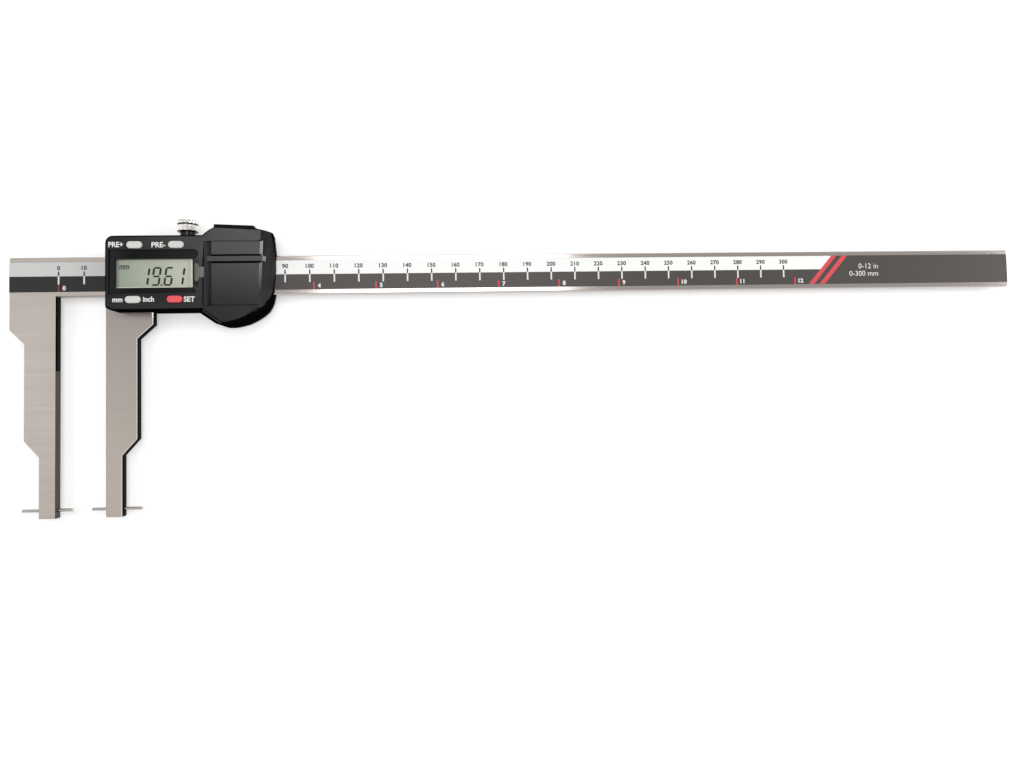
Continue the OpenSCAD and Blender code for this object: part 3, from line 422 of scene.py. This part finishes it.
def softEdges(node, width, segments, least=60, chosen=None):
    # a merged copy of a CAD node; its outer edges that turn by more than the least angle are rounded
    s = edgeSearch
    form = bmesh.new()
    form.from_mesh(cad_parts[node].data)
    bmesh.ops.remove_doubles(form, verts=form.verts, dist=s["weld"] * mm)
    bmesh.ops.dissolve_limit(form, angle_limit=math.radians(s["flat"]), verts=form.verts, edges=form.edges,
                             delimit={"NORMAL"})
    walls = BVHTree.FromBMesh(form)
    weight = form.edges.layers.float.new("bevel_weight_edge")
    for face in form.faces:
        face.smooth = True
    for edge in form.edges:
        turn = edge.calc_face_angle(0)
        edge.smooth = turn < math.radians(s["smooth"])
        normals = [face.normal for face in edge.link_faces]
        if turn < math.radians(least) or not edge.is_convex or min(n.z for n in normals) < s["backFacing"]:
            continue
        middle = (edge.verts[0].co + edge.verts[1].co) / 2
        if chosen and not chosen((middle - zeroMark) / mm):
            continue
        # an edge that faces another wall of the same piece lies in a groove and stays sharp
        ways = [Vector((n.x, n.y, 0)).normalized() for n in normals if abs(n.z) < s["frontFacing"]]
        atFront = max(n.z for n in normals) > s["frontFacing"]
        start = middle - Vector((0, 0, s["sink"] * mm if atFront else 0))
        if all(walls.ray_cast(start + way * s["step"] * mm, way, s["reach"] * mm)[0] is None for way in ways):
            edge[weight] = 1.0
            edge.smooth = True
    thing = bpy.data.objects.new(node + "Soft", finishMesh(form, node + "Soft"))
    bpy.context.scene.collection.objects.link(thing)
    bevel = thing.modifiers.new("edges", "BEVEL")
    bevel.width = width * mm
    bevel.segments = segments
    bevel.limit_method = "WEIGHT"
    bevel.use_clamp_overlap = False
    bevel.harden_normals = segments > 1
    return evaluatedMesh(thing)


def giveMaterials(mesh, *names):
    mesh.materials.clear()
    for name in names:
        mesh.materials.append(looks[name])


def zoneFaces(mesh, zone):
    # each face takes the material that its outward direction and its place in mm call for
    for face in mesh.polygons:
        face.material_index = zone(face.normal, (face.center - zeroMark) / mm)


steelSizes = {"edge": 0.3, "beamSidesBelow": -8.6, "sliderSidesBelow": -15.0, "innerFace": -3.0}
jawFacing = {"side": 0.3, "front": 0.9}  # parts of a unit normal


def jawZone(below, highlightEdge):
    # 0 the front, 1 the side faces, painted dark as shade, and 2, where it shows, the chamfer along the right-hand
    # edge, painted pale as a highlight
    def zone(normal, place):
        side, front = jawFacing["side"], jawFacing["front"]
        if place.y >= below:
            return 0
        if abs(normal.z) < side:
            return 1
        return 2 if highlightEdge and side < normal.z < front and normal.x > side else 0
    return zone


def besideJaw(place):
    return place.x < steelSizes["innerFace"] or place.y > steelSizes["beamSidesBelow"]


beamMesh = softEdges("beam", steelSizes["edge"], 1, chosen=besideJaw)
giveMaterials(beamMesh, "steel", "shadedSides")
zoneFaces(beamMesh, jawZone(steelSizes["beamSidesBelow"], False))
smoothFaces(beamMesh)
keepPiece("groundBeam", beamMesh, "beam_body", ["beam"])

frameMesh = softEdges("slider_frame", steelSizes["edge"], 1,
                      chosen=lambda place: place.y < steelSizes["sliderSidesBelow"])
giveMaterials(frameMesh, "sliderSteel", "shadedSides", "highlightEdgeSteel")
zoneFaces(frameMesh, jawZone(steelSizes["sliderSidesBelow"], True))
smoothFaces(frameMesh)
keepPiece("groundSlider", frameMesh, "slider", ["slider_frame"])
print("beam and slider made")

# "steep" to "level" are upright parts of a unit normal: a side, a slope, a rounded edge and the face
casingSizes = {
    "edge": 0.7, "segments": 3, "lowest": -3.5, "least": 28, "step": 7.95, "highlightFrom": 75,
    "steep": 0.42, "slope": 0.75, "level": 0.985, "edgeLevel": 0.99, "turned": 0.3, "rightward": 0.4,
    "edgeRightward": 0.1, "edgeSpread": (0.25, 0.02),
}


def casingZone(normal, place):
    # 1 the sloping right end, with painted light and shade, 3 its edge, a painted highlight,
    # 2 the side faces with their rounded edges, painted dark as shade, 0 the face
    s = casingSizes
    if s["steep"] < normal.z < s["slope"] and normal.x > s["rightward"]:
        return 1
    share, spare = s["edgeSpread"]
    facesRight = normal.x > s["edgeRightward"] and abs(normal.y) < share * normal.x + spare
    if place.x > s["highlightFrom"] and s["slope"] < normal.z < s["edgeLevel"] and facesRight:
        return 3
    if place.z > s["step"] and normal.z > s["turned"] and normal.x < -s["turned"]:
        return 0
    return 2 if abs(normal.z) < s["level"] else 0


casingMesh = softEdges("housing", casingSizes["edge"], casingSizes["segments"], casingSizes["least"],
                       lambda place: place.z > casingSizes["lowest"])
giveMaterials(casingMesh, "casing", "slope", "shadedSideAbs", "highlightEdgeAbs")
zoneFaces(casingMesh, casingZone)
keepPiece("casing", casingMesh, "slider", ["housing"])

coverSizes = {
    "edge": 0.2, "segments": 2, "least": 30, "valleyRight": 63.4, "ribY": 5.1, "grooveMiddle": 1.4,
    "grooveHalf": 0.45, "grooveTop": 8.75, "lowest": 8.5, "leftward": 0.15,
}


def inGroove(place):
    return abs(abs(place.y - coverSizes["ribY"]) - coverSizes["grooveMiddle"]) < coverSizes["grooveHalf"]


def coverZone(normal, place):
    # 2 the side faces and grooves, painted dark as shade, 1 the edge towards the sloping end, a painted highlight,
    # 3 the valley's slope, painted shade, 0 the face
    s = coverSizes
    if abs(normal.z) < casingSizes["steep"] or (inGroove(place) and place.z < s["grooveTop"]):
        return 2
    if normal.z < casingSizes["slope"] and normal.x > casingSizes["rightward"]:
        return 1
    return 3 if normal.x < -s["leftward"] and place.x < s["valleyRight"] else 0


coverMesh = softEdges("battery_cover", coverSizes["edge"], coverSizes["segments"], coverSizes["least"],
                      lambda place: place.z > coverSizes["lowest"] and not inGroove(place))
giveMaterials(coverMesh, "cover", "highlightEdgeAbs", "shadedSideAbs", "valley")
zoneFaces(coverMesh, coverZone)
keepPiece("slidingCover", coverMesh, "battery_door", ["battery_cover"])

bezelSizes = {"edge": 0.12, "segments": 2}
bezelMesh = softEdges("display_bezel", bezelSizes["edge"], bezelSizes["segments"])
giveMaterials(bezelMesh, "bezel")
keepPiece("displayFrame", bezelMesh, "slider", ["display_bezel"])

# the lid's teeth follow its top, which falls a little to the right
lidSizes = {
    "edge": 0.2, "segments": 2, "left": 64.5, "y": 18.3, "fall": 0.0426, "z": 6.75, "pitch": 1.27, "count": 12,
    "tooth": (0.6, 0.5, 0.5),
}
lidMesh = softEdges("port_lid", lidSizes["edge"], lidSizes["segments"])
giveMaterials(lidMesh, "lid")
keepPiece("portLid", lidMesh, "port_cap", ["port_lid"])
print("casing made")

# push buttons: pills with a rounded rim and a slight crown, which rises in rings from the rim inwards
buttonSizes = {
    "length": 6.1, "width": 2.86, "flange": 0.45, "flangeLow": 5.5, "flangeHigh": 6.5,
    "top": 8.6, "rim": 0.4, "rimSteps": 5, "crown": 0.08, "crownRings": ((0.35, 0.03), (0.8, 0.0)), "arcSteps": 12,
}
buttons = {
    "presetUpButton": ("preset_up_button", "preset_up_key", 33.21, 11.1, "grey", "button_grey"),
    "presetDownButton": ("preset_down_button", "preset_down_key", 49.31, 11.1, "grey", "button_grey"),
    "unitButton": ("unit_button", "unit_key", 32.61, -10.7, "grey", "button_grey"),
    "setButton": ("set_button", "set_key", 48.71, -10.7, "red", "button_red"),
}


def pillRing(form, x, y, length, width, z, steps):
    # a ring of points round a pill, from the lower right, anticlockwise
    radius, run = width / 2, (length - width) / 2
    ring = []
    for side, start in ((1, -90), (-1, 90)):
        for i in range(steps + 1):
            turn = math.radians(start + 180 * i / steps)
            ring.append(form.verts.new(at(x + side * run + radius * math.cos(turn),
                                          y + radius * math.sin(turn), z)))
    return ring


def joinRings(form, rings):
    # a closed skin over rings with equally many points, capped at both ends
    count = len(rings[0])
    for low, high in zip(rings, rings[1:]):
        for i in range(count):
            k = (i + 1) % count
            form.faces.new((low[i], low[k], high[k], high[i]))
    form.faces.new(list(reversed(rings[0])))
    form.faces.new(rings[-1])


def buttonMesh(name, x, y):
    s = buttonSizes
    shoulder = s["top"] - s["crown"]
    rings = [(s["flange"], s["flangeLow"]), (s["flange"], s["flangeHigh"]), (0, s["flangeHigh"]),
             (0, s["top"] - s["rim"] - s["crown"])]
    for i in range(1, s["rimSteps"] + 1):
        turn = math.radians(90 * i / s["rimSteps"])
        rings.append((-s["rim"] * (1 - math.cos(turn)), shoulder - s["rim"] * (1 - math.sin(turn))))
    rings += [(-s["rim"] - inwards, s["top"] - below) for inwards, below in s["crownRings"]]
    form = bmesh.new()
    joinRings(form, [pillRing(form, x, y, s["length"] + 2 * grow, s["width"] + 2 * grow, z, s["arcSteps"])
                     for grow, z in rings])
    return finishMesh(form, name)


for name, (node, body, x, y, look, slotName) in buttons.items():
    mesh = buttonMesh(name, x, y)
    giveMaterials(mesh, look)
    smoothFaces(mesh)
    keepPiece(name, mesh, body, [node])
print("buttons made")


def flatShape(form, points, low, thick):
    # a closed thin plate from an outline that runs anticlockwise
    bottom = [form.verts.new(at(x, y, low)) for x, y in points]
    top = [form.verts.new(at(x, y, low + thick)) for x, y in points]
    form.faces.new(list(reversed(bottom)))
    form.faces.new(top)
    for i in range(len(points)):
        k = (i + 1) % len(points)
        form.faces.new((bottom[i], bottom[k], top[k], top[i]))


letterSizes = {"thick": 0.03, "curveSteps": 4, "weld": 0.001}


def letterMesh(text, bold, gap=1.0):
    # raised letters of the font's own size, which the caller brings to the wanted height
    curve = bpy.data.curves.new("letters", "FONT")
    curve.body = text
    curve.size = 1
    curve.offset = bold
    curve.space_character = gap
    curve.resolution_u = letterSizes["curveSteps"]
    curve.extrude = letterSizes["thick"] / 2
    thing = bpy.data.objects.new("letters", curve)
    bpy.context.scene.collection.objects.link(thing)
    mesh = evaluatedMesh(thing)
    bpy.data.curves.remove(curve)
    return mesh


def addLetters(form, text, height, bold, place, align="left", gap=1.0, wide=None, like="0"):
    # the height is that of the sample letter; place is the lower corner on the aligned side;
    # letters with a width given are stretched to it
    sample = letterMesh(like, bold)
    foot = min(v.co.y for v in sample.vertices)
    scale = height / (max(v.co.y for v in sample.vertices) - foot)
    bpy.data.meshes.remove(sample)
    mesh = letterMesh(text, bold, gap)
    left = min(v.co.x for v in mesh.vertices)
    right = max(v.co.x for v in mesh.vertices)
    stretch = wide / ((right - left) * scale) if wide else 1.0
    start = {"left": left, "middle": (left + right) / 2, "right": right}[align]
    x, y, z = place
    for v in mesh.vertices:
        v.co = at(x + (v.co.x - start) * scale * stretch, y + (v.co.y - foot) * scale, z + v.co.z)
    form.from_mesh(mesh)
    bpy.data.meshes.remove(mesh)


def letterPiece(name, form, look, body):
    bmesh.ops.remove_doubles(form, verts=form.verts, dist=letterSizes["weld"] * mm)
    mesh = finishMesh(form, name)
    giveMaterials(mesh, look)
    keepPiece(name, mesh, body)


# words beside the buttons: text, lower left corner, height and width
casingWords = {
    "face": 8.0, "bold": 0.03,
    "words": (
        ("PRE+", 23.2, 10.2, 2.15, 5.65), ("PRE-", 39.8, 10.0, 2.15, 5.4),
        ("mm", 24.77, -11.7, 2.1, 3.87), ("inch", 36.5, -11.65, 2.12, 4.25), ("SET", 52.2, -11.85, 2.15, 4.35),
    ),
}
form = bmesh.new()
for text, x, y, tall, wide in casingWords["words"]:
    addLetters(form, text, tall, casingWords["bold"], (x, y, casingWords["face"]), like="P", wide=wide)
letterPiece("buttonWords", form, "whiteInk", "slider")

# the reading, in slanted bars with cut corners; "rights" are the upper right corners of its figures
readingSizes = {
    "face": 6.5, "figures": "1961", "height": 7.57, "width": 3.42, "rights": (38.9, 43.33, 48.12, 52.53),
    "upright": 0.82, "level": 0.7, "gap": 0.07, "slant": 0.14, "foot": -5.12, "thick": 0.02,
    "dot": (42.66, -5.1, 0.68),
    "unit": {"lefts": (26.7, 28.7), "y": 1.6, "height": 1.6, "bar": 0.34, "pitch": 0.72, "slant": 0.12,
             "legs": 3, "cut": 0.6},
    "window": (25.61, -6.0, 55.61, 5.5), "leftStrip": 1.1, "lightEdge": 0.5, "rightEdge": 1.15,
}
barsOf = {"1": "bc", "9": "abcdfg", "6": "acdefg"}  # a on top, then clockwise to f, and g in the middle


def barOutlines(size):
    w, h, u, t, g = size["width"], size["height"], size["upright"], size["level"], size["gap"]
    half = h / 2

    def level(y):
        return [(g + t / 2, y), (t + g, y - t / 2), (w - t - g, y - t / 2), (w - g - t / 2, y),
                (w - t - g, y + t / 2), (t + g, y + t / 2)]

    def upright(x, low):
        high = low + half
        return [(x, low + g + t / 2), (x + u / 2, low + g + t), (x + u / 2, high - g - t),
                (x, high - g - t / 2), (x - u / 2, high - g - t), (x - u / 2, low + g + t)]

    return {"a": level(h - t / 2), "g": level(half), "d": level(t / 2),
            "b": upright(w - u / 2, half), "c": upright(w - u / 2, 0),
            "f": upright(u / 2, half), "e": upright(u / 2, 0)}


form = bmesh.new()
size = readingSizes
outlines = barOutlines(size)
for right, figure in zip(size["rights"], size["figures"]):
    left = right - size["width"]
    for bar in barsOf[figure]:
        points = [(left + x + (y - size["height"]) * size["slant"], size["foot"] + y) for x, y in outlines[bar]]
        flatShape(form, points, size["face"], size["thick"])
x, y, wide = size["dot"]
lean = wide * size["slant"]
flatShape(form, [(x, y), (x + wide, y), (x + wide + lean, y + wide), (x + lean, y + wide)],
          size["face"], size["thick"])
unit = size["unit"]
bar, y = unit["bar"], unit["y"]
shoulder = y + unit["height"] - bar
lean = (unit["height"] - bar) * unit["slant"]
span = (unit["legs"] - 1) * unit["pitch"]
for left in unit["lefts"]:
    for i in range(unit["legs"]):
        x = left + i * unit["pitch"]
        flatShape(form, [(x, y), (x + bar, y), (x + bar + lean, shoulder), (x + lean, shoulder)],
                  size["face"], size["thick"])
    x = left + lean
    flatShape(form, [(x, shoulder), (x + span + bar, shoulder), (x + span + bar * unit["cut"], shoulder + bar),
                     (x, shoulder + bar)], size["face"], size["thick"])
letterPiece("readingBars", form, "segments", "slider")


def cellStrips(name, boxes, look):
    form = bmesh.new()
    for x0, y0, x1, y1 in boxes:
        flatShape(form, [(x0, y0), (x1, y0), (x1, y1), (x0, y1)], readingSizes["face"], readingSizes["thick"])
    letterPiece(name, form, look, "slider")


# the cell's right and bottom edges are painted pale as a highlight, its left strip darker as shade
x0, y0, x1, y1 = size["window"]
edge = size["lightEdge"]
cellStrips("cellLightEdges", [(x0, y0, x1, y0 + edge), (x1 - size["rightEdge"], y0 + edge, x1, y1)], "litCellEdge")
cellStrips("cellShadedLeftStrip", [(x0, y0 + edge, x0 + size["leftStrip"], y1)], "edgeShade")
print("lettering made")


def startTree(name, wanted):
    # a tree of Geometry Nodes with named inputs, and the identifiers that a modifier needs to set them
    tree = bpy.data.node_groups.new(name, "GeometryNodeTree")
    names = {}
    for label, kind in wanted.items():
        socket = tree.interface.new_socket(name=label, in_out="INPUT", socket_type="NodeSocket" + kind)
        names[label] = socket.identifier
    tree.interface.new_socket(name="Geometry", in_out="OUTPUT", socket_type="NodeSocketGeometry")
    return tree, names, addNode(tree, "NodeGroupInput").outputs


def endTree(tree, points, instance, turned, material):
    # the instance on each point, made real and given its material
    copies = addNode(tree, "GeometryNodeInstanceOnPoints", {"Points": points, "Instance": instance, **turned})
    real = addNode(tree, "GeometryNodeRealizeInstances", {0: copies})
    dressed = addNode(tree, "GeometryNodeSetMaterial", {"Geometry": real, "Material": material})
    addNode(tree, "NodeGroupOutput", {0: dressed})


def markTree():
    # a row of equal bars; the inputs are in metres
    tree, names, given = startTree("scaleMarks", {
        "count": "Int", "first": "Vector", "pitch": "Vector", "bar": "Vector", "ink": "Material"})
    row = addNode(tree, "GeometryNodeMeshLine", {"mode": "OFFSET", "Count": given["count"],
                                                 "Start Location": given["first"], "Offset": given["pitch"]})
    endTree(tree, row, addNode(tree, "GeometryNodeMeshCube", {"Size": given["bar"]}), {}, given["ink"])
    return tree, names


def runTree(name, tree, names, values):
    thing = bpy.data.objects.new(name, bpy.data.meshes.new(name))
    bpy.context.scene.collection.objects.link(thing)
    modifier = thing.modifiers.new("nodes", "NODES")
    modifier.node_group = tree
    for key, value in values.items():
        modifier[names[key]] = value
    return evaluatedMesh(thing)


# the scale; a mark is its width and its length
scaleSizes = {
    "face": -0.05, "thick": 0.05, "split": 0.29, "millimetres": 300, "millimetreStep": 10, "inches": 12, "inch": 25.4,
    "blackMark": (0.55, 1.9), "whiteMark": (0.62, 3.3), "inchMark": (0.6, 3.0), "inchFoot": -6.0,
    "figure": 1.85, "figureBold": 0.035, "figureFoot": 2.75, "figureGap": 1.05,
    "inchFigure": 1.9, "inchFigureBold": 0.045, "inchFigureShift": 1.55, "inchFigureFoot": -5.45,
    "inchFigureGap": 1.1, "ranges": (("0-12 in", 0.45), ("0-300 mm", -2.75)), "rangeRight": 341.7, "rangeHeight": 2.2,
}
s = scaleSizes
marks, markNames = markTree()
markCount = s["millimetres"] // s["millimetreStep"] + 1
for name, count, pitch, (wide, tall), foot, look in (
        ("blackMarks", markCount, s["millimetreStep"], s["blackMark"], s["split"], "blackInk"),
        ("whiteMarks", markCount, s["millimetreStep"], s["whiteMark"], s["split"] - s["whiteMark"][1], "whiteInk"),
        ("inchMarks", s["inches"] + 1, s["inch"], s["inchMark"], s["inchFoot"], "redInk")):
    mesh = runTree(name, marks, markNames, {
        "count": count, "first": at(0, foot + tall / 2, s["face"]), "pitch": (pitch * mm, 0, 0),
        "bar": (wide * mm, tall * mm, s["thick"] * mm), "ink": looks[look]})
    keepPiece(name, mesh, "beam_body")

teeth = runTree("lidTeeth", marks, markNames, {
    "count": lidSizes["count"], "first": at(lidSizes["left"], lidSizes["y"], lidSizes["z"]),
    "pitch": (lidSizes["pitch"] * mm, -lidSizes["pitch"] * lidSizes["fall"] * mm, 0),
    "bar": tuple(side * mm for side in lidSizes["tooth"]), "ink": looks["lid"]})
keepPiece("lidTeeth", teeth, "port_cap")

form = bmesh.new()
for value in range(0, s["millimetres"] + 1, s["millimetreStep"]):
    addLetters(form, str(value), s["figure"], s["figureBold"], (value, s["figureFoot"], s["face"]),
               align="middle", gap=s["figureGap"])
letterPiece("millimetreFigures", form, "blackInk", "beam_body")

form = bmesh.new()
for value in range(s["inches"] + 1):
    addLetters(form, str(value), s["inchFigure"], s["inchFigureBold"],
               (value * s["inch"] + s["inchFigureShift"], s["inchFigureFoot"], s["face"]), gap=s["inchFigureGap"])
for text, foot in s["ranges"]:
    addLetters(form, text, s["rangeHeight"], 0.0, (s["rangeRight"], foot, s["face"]), align="right")
letterPiece("whiteFigures", form, "whiteInk", "beam_body")
print("scale made")

# The knurled lock screw, about an axis along Y. A knurl band is its height above the head's foot or the
# groove, and its rows of studs, which are sunk a little into the core.
knobSizes = {
    "axis": (50.31, -2.0), "foot": 18.25, "headHeight": 5.2, "headRadius": 4.1, "neckRadius": 2.95,
    "neckFoot": 13.75, "shankFoot": 9.3, "shankRadius": 2.0, "shankChamfer": 0.25,
    "footChamfer": (0.35, 0.3), "grooveLow": 2.6, "groove": 0.75, "grooveDeep": 0.5, "grooveSlope": 0.15,
    "topBevels": ((0.6, 0.2), (1.1, 0)), "sideTop": 0.7, "steps": 72, "sharp": 25, "lowBand": (0.62, 5),
    "highBand": (0.25, 2), "around": 30, "row": 0.44, "stud": 0.46, "proud": 0.1, "sunk": 0.06,
    "neckUpTo": 0.45, "faceFrom": 0.68,
}


def knurlTree():
    # four-sided studs set round a cylinder in staggered rows; the axis is Y
    tree, names, given = startTree("knurl", {
        "around": "Int", "rows": "Int", "radius": "Float", "row height": "Float", "foot": "Float",
        "stud": "Float", "proud": "Float", "centre": "Vector", "metal": "Material"})

    def add(kind, values):
        return addNode(tree, kind, values)

    number = add("GeometryNodeInputIndex", {})
    part = add("ShaderNodeMath", {"operation": "DIVIDE", 0: number, 1: given["around"]})
    row = add("ShaderNodeMath", {"operation": "FLOOR", 0: part})
    before = add("ShaderNodeMath", {"operation": "MULTIPLY", 0: row, 1: given["around"]})
    step = add("ShaderNodeMath", {"operation": "SUBTRACT", 0: number, 1: before})
    odd = add("ShaderNodeMath", {"operation": "MODULO", 0: row, 1: 2})
    stagger = add("ShaderNodeMath", {"operation": "MULTIPLY", 0: odd, 1: 0.5})
    shifted = add("ShaderNodeMath", {"operation": "ADD", 0: step, 1: stagger})
    share = add("ShaderNodeMath", {"operation": "DIVIDE", 0: shifted, 1: given["around"]})
    turn = add("ShaderNodeMath", {"operation": "MULTIPLY", 0: share, 1: 2 * math.pi})
    outward = add("ShaderNodeCombineXYZ", {0: add("ShaderNodeMath", {"operation": "COSINE", 0: turn}),
                                           2: add("ShaderNodeMath", {"operation": "SINE", 0: turn})})
    climb = add("ShaderNodeMath", {"operation": "MULTIPLY", 0: row, 1: given["row height"]})
    lift = add("ShaderNodeCombineXYZ", {1: add("ShaderNodeMath", {"operation": "ADD", 0: climb, 1: given["foot"]})})
    spread = add("ShaderNodeVectorMath", {"operation": "SCALE", 0: outward, "Scale": given["radius"]})
    place = add("ShaderNodeVectorMath", {"operation": "ADD", 0: spread, 1: lift})
    place = add("ShaderNodeVectorMath", {"operation": "ADD", 0: place, 1: given["centre"]})
    total = add("ShaderNodeMath", {"operation": "MULTIPLY", 0: given["rows"], 1: given["around"]})
    points = add("GeometryNodePoints", {"Count": total, "Position": place})
    stud = add("GeometryNodeMeshCone", {"Vertices": 4, "Radius Top": 0.0, "fill_type": "NGON",
                                        "Radius Bottom": given["stud"], "Depth": given["proud"]})
    facing = add("FunctionNodeAlignRotationToVector", {"axis": "Z", "pivot_axis": "AUTO", "Vector": outward})
    endTree(tree, points, stud, {"Rotation": facing}, given["metal"])
    return tree, names


def turnedMesh(name, profile, centre, steps):
    # a closed turned form about an axis along Y; the profile is (radius, y) from end to end, in mm
    form = bmesh.new()
    x, z = centre
    rings = []
    for radius, y in profile:
        turns = [2 * math.pi * i / steps for i in range(steps if radius else 1)]
        rings.append([form.verts.new(at(x + radius * math.cos(turn), y, z - radius * math.sin(turn)))
                      for turn in turns])
    for low, high in zip(rings, rings[1:]):
        for i in range(steps):
            k = (i + 1) % steps
            if len(low) == 1:
                form.faces.new((low[0], high[k], high[i]))
            elif len(high) == 1:
                form.faces.new((low[i], low[k], high[0]))
            else:
                form.faces.new((low[i], low[k], high[k], high[i]))
    bmesh.ops.recalc_face_normals(form, faces=form.faces)
    return finishMesh(form, name)


s = knobSizes
coreRadius = s["headRadius"] - s["proud"] + s["sunk"]
foot, top = s["foot"], s["foot"] + s["headHeight"]
grooveFoot, grooveTop = foot + s["grooveLow"], foot + s["grooveLow"] + s["groove"]
grooveRadius = coreRadius - s["grooveDeep"]
footInset, footRise = s["footChamfer"]
profile = [
    (0, s["shankFoot"]), (s["shankRadius"] - s["shankChamfer"], s["shankFoot"]),
    (s["shankRadius"], s["shankFoot"] + s["shankChamfer"]), (s["shankRadius"], s["neckFoot"]),
    (s["neckRadius"], s["neckFoot"]), (s["neckRadius"], foot),
    (coreRadius - footInset, foot), (coreRadius, foot + footRise), (coreRadius, grooveFoot),
    (grooveRadius, grooveFoot + s["grooveSlope"]), (grooveRadius, grooveTop - s["grooveSlope"]),
    (coreRadius, grooveTop), (coreRadius, top - s["sideTop"]),
    *((s["headRadius"] - inwards, top - below) for inwards, below in s["topBevels"]), (0, top),
]
knobMesh = turnedMesh("knobCore", profile, s["axis"], s["steps"])
smoothFaces(knobMesh, s["sharp"])
giveMaterials(knobMesh, "knob")
knurl, knurlNames = knurlTree()
form = bmesh.new()
form.from_mesh(knobMesh)
for start, (rise, rows) in ((foot, s["lowBand"]), (grooveTop, s["highBand"])):
    studs = runTree("knurlBand", knurl, knurlNames, {
        "around": s["around"], "rows": rows, "radius": (coreRadius + s["proud"] / 2 - s["sunk"]) * mm,
        "row height": s["row"] * mm, "foot": (start + rise) * mm, "stud": s["stud"] * mm, "proud": s["proud"] * mm,
        "centre": at(s["axis"][0], 0, s["axis"][1]), "metal": looks["knob"]})
    form.from_mesh(studs)
    bpy.data.meshes.remove(studs)
form.to_mesh(knobMesh)
form.free()
giveMaterials(knobMesh, "knob", "neck", "knobFace")


def knobZone(normal, place):
    # 1 the neck and shank, painted dark as the shade under the head, 2 the head's bright top, 0 the knurl
    if place.y < foot + knobSizes["neckUpTo"]:
        return 1
    return 2 if place.y > top - knobSizes["faceFrom"] else 0


zoneFaces(knobMesh, knobZone)
keepPiece("knurledScrew", knobMesh, "lock_knob", ["lock_screw"])
print("lock screw made")

cameraSizes = {
    "lens": 26.25, "sensor": 36, "place": (162.18, -56.77, 307.06), "nearest": 10,
    "right": (0.99803, -0.02053, 0.05929), "back": (-0.06006, -0.03931, 0.99742),
}
back = Vector(cameraSizes["back"]).normalized()
up = back.cross(Vector(cameraSizes["right"])).normalized()
right = up.cross(back).normalized()
cameraData = bpy.data.cameras.new("camera")
cameraData.lens = cameraSizes["lens"]
cameraData.sensor_width = cameraSizes["sensor"]
cameraData.sensor_fit = "HORIZONTAL"
cameraData.clip_start = cameraSizes["nearest"] * mm
camera = bpy.data.objects.new("camera", cameraData)
bpy.context.scene.collection.objects.link(camera)
camera.matrix_world = Matrix.Translation(at(*cameraSizes["place"])) @ Matrix((right, up, back)).transposed().to_4x4()
bpy.context.scene.camera = camera


def seenRays(tree):
    # 1 for what the camera sees straight on, in metal or through glass, and 0 for the light on the object
    path = addNode(tree, "ShaderNodeLightPath")
    seen = addNode(tree, "ShaderNodeMath", {"operation": "MAXIMUM", 0: path.outputs["Is Camera Ray"],
                                            1: path.outputs["Is Glossy Ray"]})
    return addNode(tree, "ShaderNodeMath",
                   {"operation": "MAXIMUM", 0: seen, 1: path.outputs["Is Transmission Ray"]})


# the floor: matt and pale, with a white glow that only shows and leaves the object's shadow
floorSizes = {"half": 3, "colour": "#f2f2f2", "roughness": 0.9, "glow": 0.35}
half = floorSizes["half"]
floorMesh = bpy.data.meshes.new("floor")
floorMesh.from_pydata([(-half, -half, 0), (half, -half, 0), (half, half, 0), (-half, half, 0)], [], [(0, 1, 2, 3)])
floor = bpy.data.objects.new("floor", floorMesh)
bpy.context.scene.collection.objects.link(floor)
floorMaterial, tree, shader = startMaterial("paleFloor", floorSizes["colour"], floorSizes["roughness"],
                                            Emission_Color=(1, 1, 1, 1))
glow = addNode(tree, "ShaderNodeMapRange", {"Value": seenRays(tree), "To Max": floorSizes["glow"]})
tree.links.new(glow.outputs[0], shader.inputs["Emission Strength"])
floorMesh.materials.append(floorMaterial)

# the room: a white horizon behind the floor and a dimmer ceiling
roomSizes = {"horizon": 1.0, "ceiling": 0.62, "horizonUpTo": 0.1, "ceilingFrom": 0.5, "fillLow": 0.22,
             "fillHigh": 0.72}
world = bpy.data.worlds.new("studio")
bpy.context.scene.world = world
world.use_nodes = True
tree = world.node_tree
tree.nodes.clear()
place = addNode(tree, "ShaderNodeTexCoord")
rise = addNode(tree, "ShaderNodeSeparateXYZ", {0: place.outputs["Generated"]}).outputs[2]
shownLevel = addNode(tree, "ShaderNodeMapRange", {
    "Value": rise, "From Min": roomSizes["horizonUpTo"], "From Max": roomSizes["ceilingFrom"],
    "To Min": roomSizes["horizon"], "To Max": roomSizes["ceiling"]})
fillLevel = addNode(tree, "ShaderNodeMapRange", {
    "Value": rise, "To Min": roomSizes["fillLow"], "To Max": roomSizes["fillHigh"]})
shown = addNode(tree, "ShaderNodeBackground", {"Color": (1, 1, 1, 1), "Strength": shownLevel})
fill = addNode(tree, "ShaderNodeBackground", {"Color": (1, 1, 1, 1), "Strength": fillLevel})
room = addNode(tree, "ShaderNodeMixShader", {0: seenRays(tree), 1: fill, 2: shown})
addNode(tree, "ShaderNodeOutputWorld", {0: room})

# square lamps: place, where they point, side and power
lamps = {
    "topSoftbox": ((-0.056, 0.21, 0.9), (-0.05, 0, 0), 0.4, 1.9),
    "leftSoftbox": ((-0.83, 0.0, 0.9), (-0.2, 0, 0), 0.6, 1.2),
    "rightSoftbox": ((0.8, 0.08, 0.42), (0.05, 0, 0), 0.4, 2.8),
}
for name, (place, target, side, power) in lamps.items():
    lampData = bpy.data.lights.new(name, "AREA")
    lampData.shape = "SQUARE"
    lampData.size = side
    lampData.energy = power
    lamp = bpy.data.objects.new(name, lampData)
    bpy.context.scene.collection.objects.link(lamp)
    lamp.location = place
    lamp.rotation_euler = (Vector(target) - Vector(place)).to_track_quat("-Z", "Y").to_euler()
print("camera and light set")

bpy.context.scene.view_settings.view_transform = "Standard"
